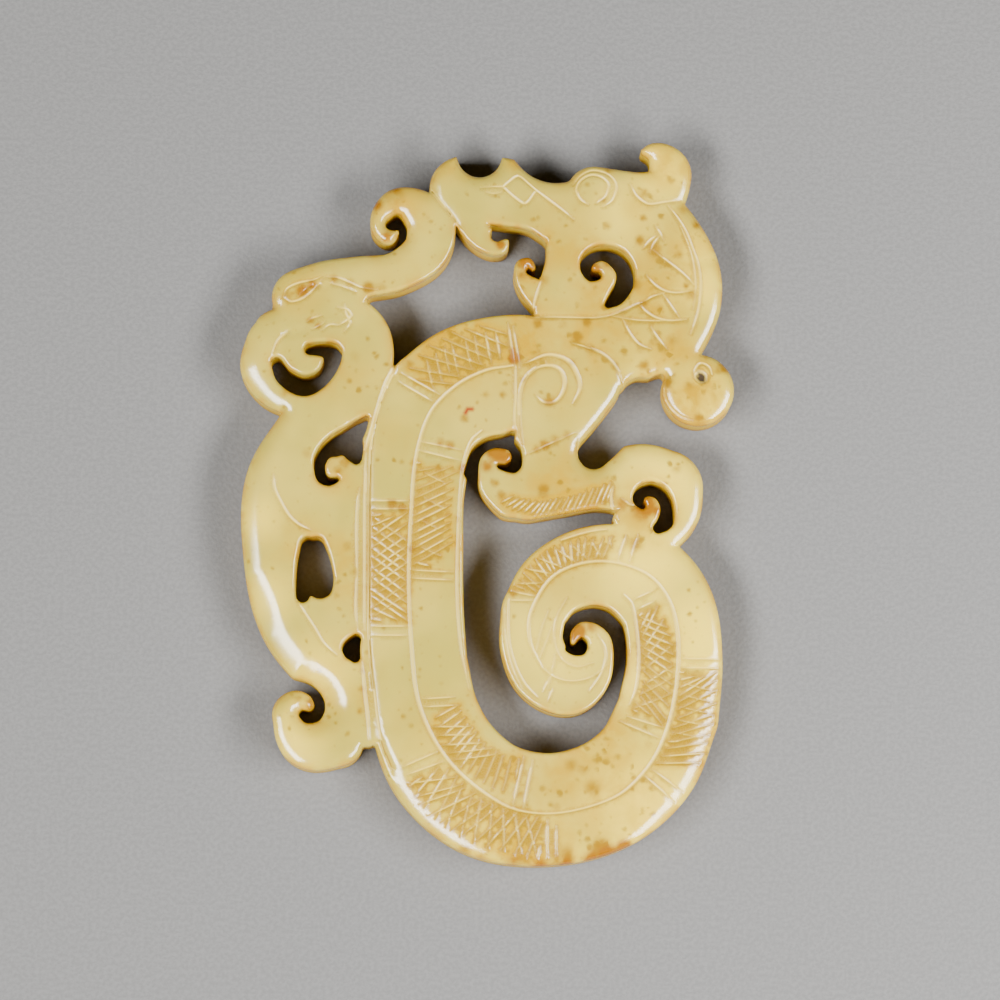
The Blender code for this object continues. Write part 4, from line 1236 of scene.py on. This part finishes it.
class JadeFinish(bpy.types.PropertyGroup):
    """Colours and polish of the jade, among them painted shade and glow on the side walls, in the pit and at
    the scroll tips.
    """

    green: colour_setting("Green", "Where the stone is greenest", (0.43, 0.345, 0.044))
    cream: colour_setting("Cream", "Where the stone is cream", (0.54, 0.42, 0.058))
    pale: colour_setting("Pale", "Where the stone is palest", (0.95, 0.70, 0.06))
    amber: colour_setting("Amber", "Where the stone is warm", (0.47, 0.275, 0.0))
    speck: colour_setting("Specks", "Small ochre specks", (0.25, 0.135, 0.0))
    stain: colour_setting("Stains", "Yellow brown stains", (0.28, 0.14, 0.0))
    # Rust: orange stains, and painted shade inside the scroll tips
    rust_and_shade: colour_setting("Rust", "Orange stains on the tips of the scrolls", (0.27, 0.10, 0.0))
    cut: colour_setting("Cuts", "The ground stone in the cut lines", (0.78, 0.58, 0.08))
    dirt: colour_setting("Dirt", "Brown dirt beside the cut lines", (0.33, 0.19, 0.0))
    # Edges: an orange brown tint along the outline, in patches
    edge: colour_setting("Edges", "Worn edges", (0.44, 0.21, 0.0))
    # The side walls' colour is painted shade and a painted glow of light coming through the stone
    wall_shade_and_glow: colour_setting("Side walls", "The sawn side walls", (0.50, 0.32, 0.0))
    # The foot of the walls is painted darker as shade
    foot: colour_setting("Foot of the walls", "The side walls near the back", (0.34, 0.15, 0.0))
    red: colour_setting("Red mark", "One small dark red mark", (0.28, 0.02, 0.01))
    # The pit's colour is painted shade
    pit: colour_setting("Pit", "The dark pit in the ball", (0.03, 0.015, 0.0))
    roughness: FloatProperty(
        name="Roughness", description="Roughness of the polish", default=0.15, min=0.0, max=1.0)
    translucency: FloatProperty(
        name="Translucency", description="Share of the light that spreads in the stone", default=0.4, min=0.0,
        max=1.0)
    light_depth: length_setting("Light depth", "How far light spreads in the stone", 0.5 * MM)


class StageSettings(bpy.types.PropertyGroup):
    """The floor, the lights and the camera."""

    floor_colour: colour_setting("Floor", "Colour of the floor", (0.163, 0.160, 0.155))
    left_strength: FloatProperty(
        name="Left light", description="Power of the light at the lower left", default=27.0, unit="POWER")
    right_strength: FloatProperty(
        name="Right light", description="Power of the light at the lower right", default=3.3, unit="POWER")
    fill_colour: colour_setting("Fill colour", "Colour of the light all round", (1.0, 1.0, 1.0))
    fill_strength: FloatProperty(
        name="Fill", description="Strength of the light all round", default=0.01)
    camera_distance: length_setting("Camera distance", "From the camera to the plaque", 480 * MM)
    view_width: length_setting("View width", "Width of what the camera sees", 103.64 * MM)
    camera_tilt_south: FloatProperty(
        name="Tilt down", description="How far the camera leans to the tail, in degrees", default=6.8)
    camera_tilt_west: FloatProperty(
        name="Tilt left", description="How far the camera leans to the beast, in degrees", default=1.0)


class CarvePlaque(bpy.types.Operator):
    """Carve the jade plaque over the solid that it stands for."""

    bl_idname = "jade_plaque.carve"
    bl_label = "Carve the plaque"

    def execute(self, context):
        """Make the plaque's mesh and its material."""
        mesh = carve(context.scene.plaque_sizes)
        mesh.materials.append(jade_material(context.scene.jade_finish))
        plaque = add_object(PIECE, mesh)
        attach(plaque, BODY)
        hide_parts(NODE)
        return {"FINISHED"}


class SetStage(bpy.types.Operator):
    """Lay the floor and set the lights and the camera."""

    bl_idname = "jade_plaque.stage"
    bl_label = "Set the stage"

    def execute(self, context):
        """Make the floor, two soft lights, the fill and the camera."""
        stage = context.scene.plaque_stage
        make_floor(stage)
        make_soft_light("left light", stage.left_strength, **LEFT_LIGHT)
        make_soft_light("right light", stage.right_strength, **RIGHT_LIGHT)
        make_surroundings(stage)
        make_camera(stage)
        return {"FINISHED"}


class PlaquePanel(bpy.types.Panel):
    """The plaque's operators and settings."""

    bl_idname = "VIEW3D_PT_jade_plaque"
    bl_label = "Jade plaque"
    bl_space_type = "VIEW_3D"
    bl_region_type = "UI"
    bl_category = "Jade plaque"

    def draw(self, context):
        """List the operators with the settings that each one reads."""
        for operator, groups in PANEL_ROWS:
            self.layout.operator(operator.bl_idname)
            for group_name in groups:
                group = getattr(context.scene, group_name)
                for name in group.__annotations__:
                    self.layout.prop(group, name)


SETTINGS = {"plaque_sizes": PlaqueSizes, "jade_finish": JadeFinish, "plaque_stage": StageSettings}
PANEL_ROWS = [(CarvePlaque, ["plaque_sizes", "jade_finish"]), (SetStage, ["plaque_stage"])]
CLASSES = [*SETTINGS.values(), CarvePlaque, SetStage, PlaquePanel]


def register():
    """Add the classes, and the settings to the scene."""
    for item in CLASSES:
        bpy.utils.register_class(item)
    for name, group in SETTINGS.items():
        setattr(bpy.types.Scene, name, PointerProperty(type=group))


def unregister():
    """Take the settings and the classes away again."""
    for name in SETTINGS:
        delattr(bpy.types.Scene, name)
    for item in reversed(CLASSES):
        bpy.utils.unregister_class(item)


def main():
    """Make every piece and the stage."""
    register()
    bpy.ops.jade_plaque.carve()
    bpy.ops.jade_plaque.stage()


if __name__ == "__main__":
    main()
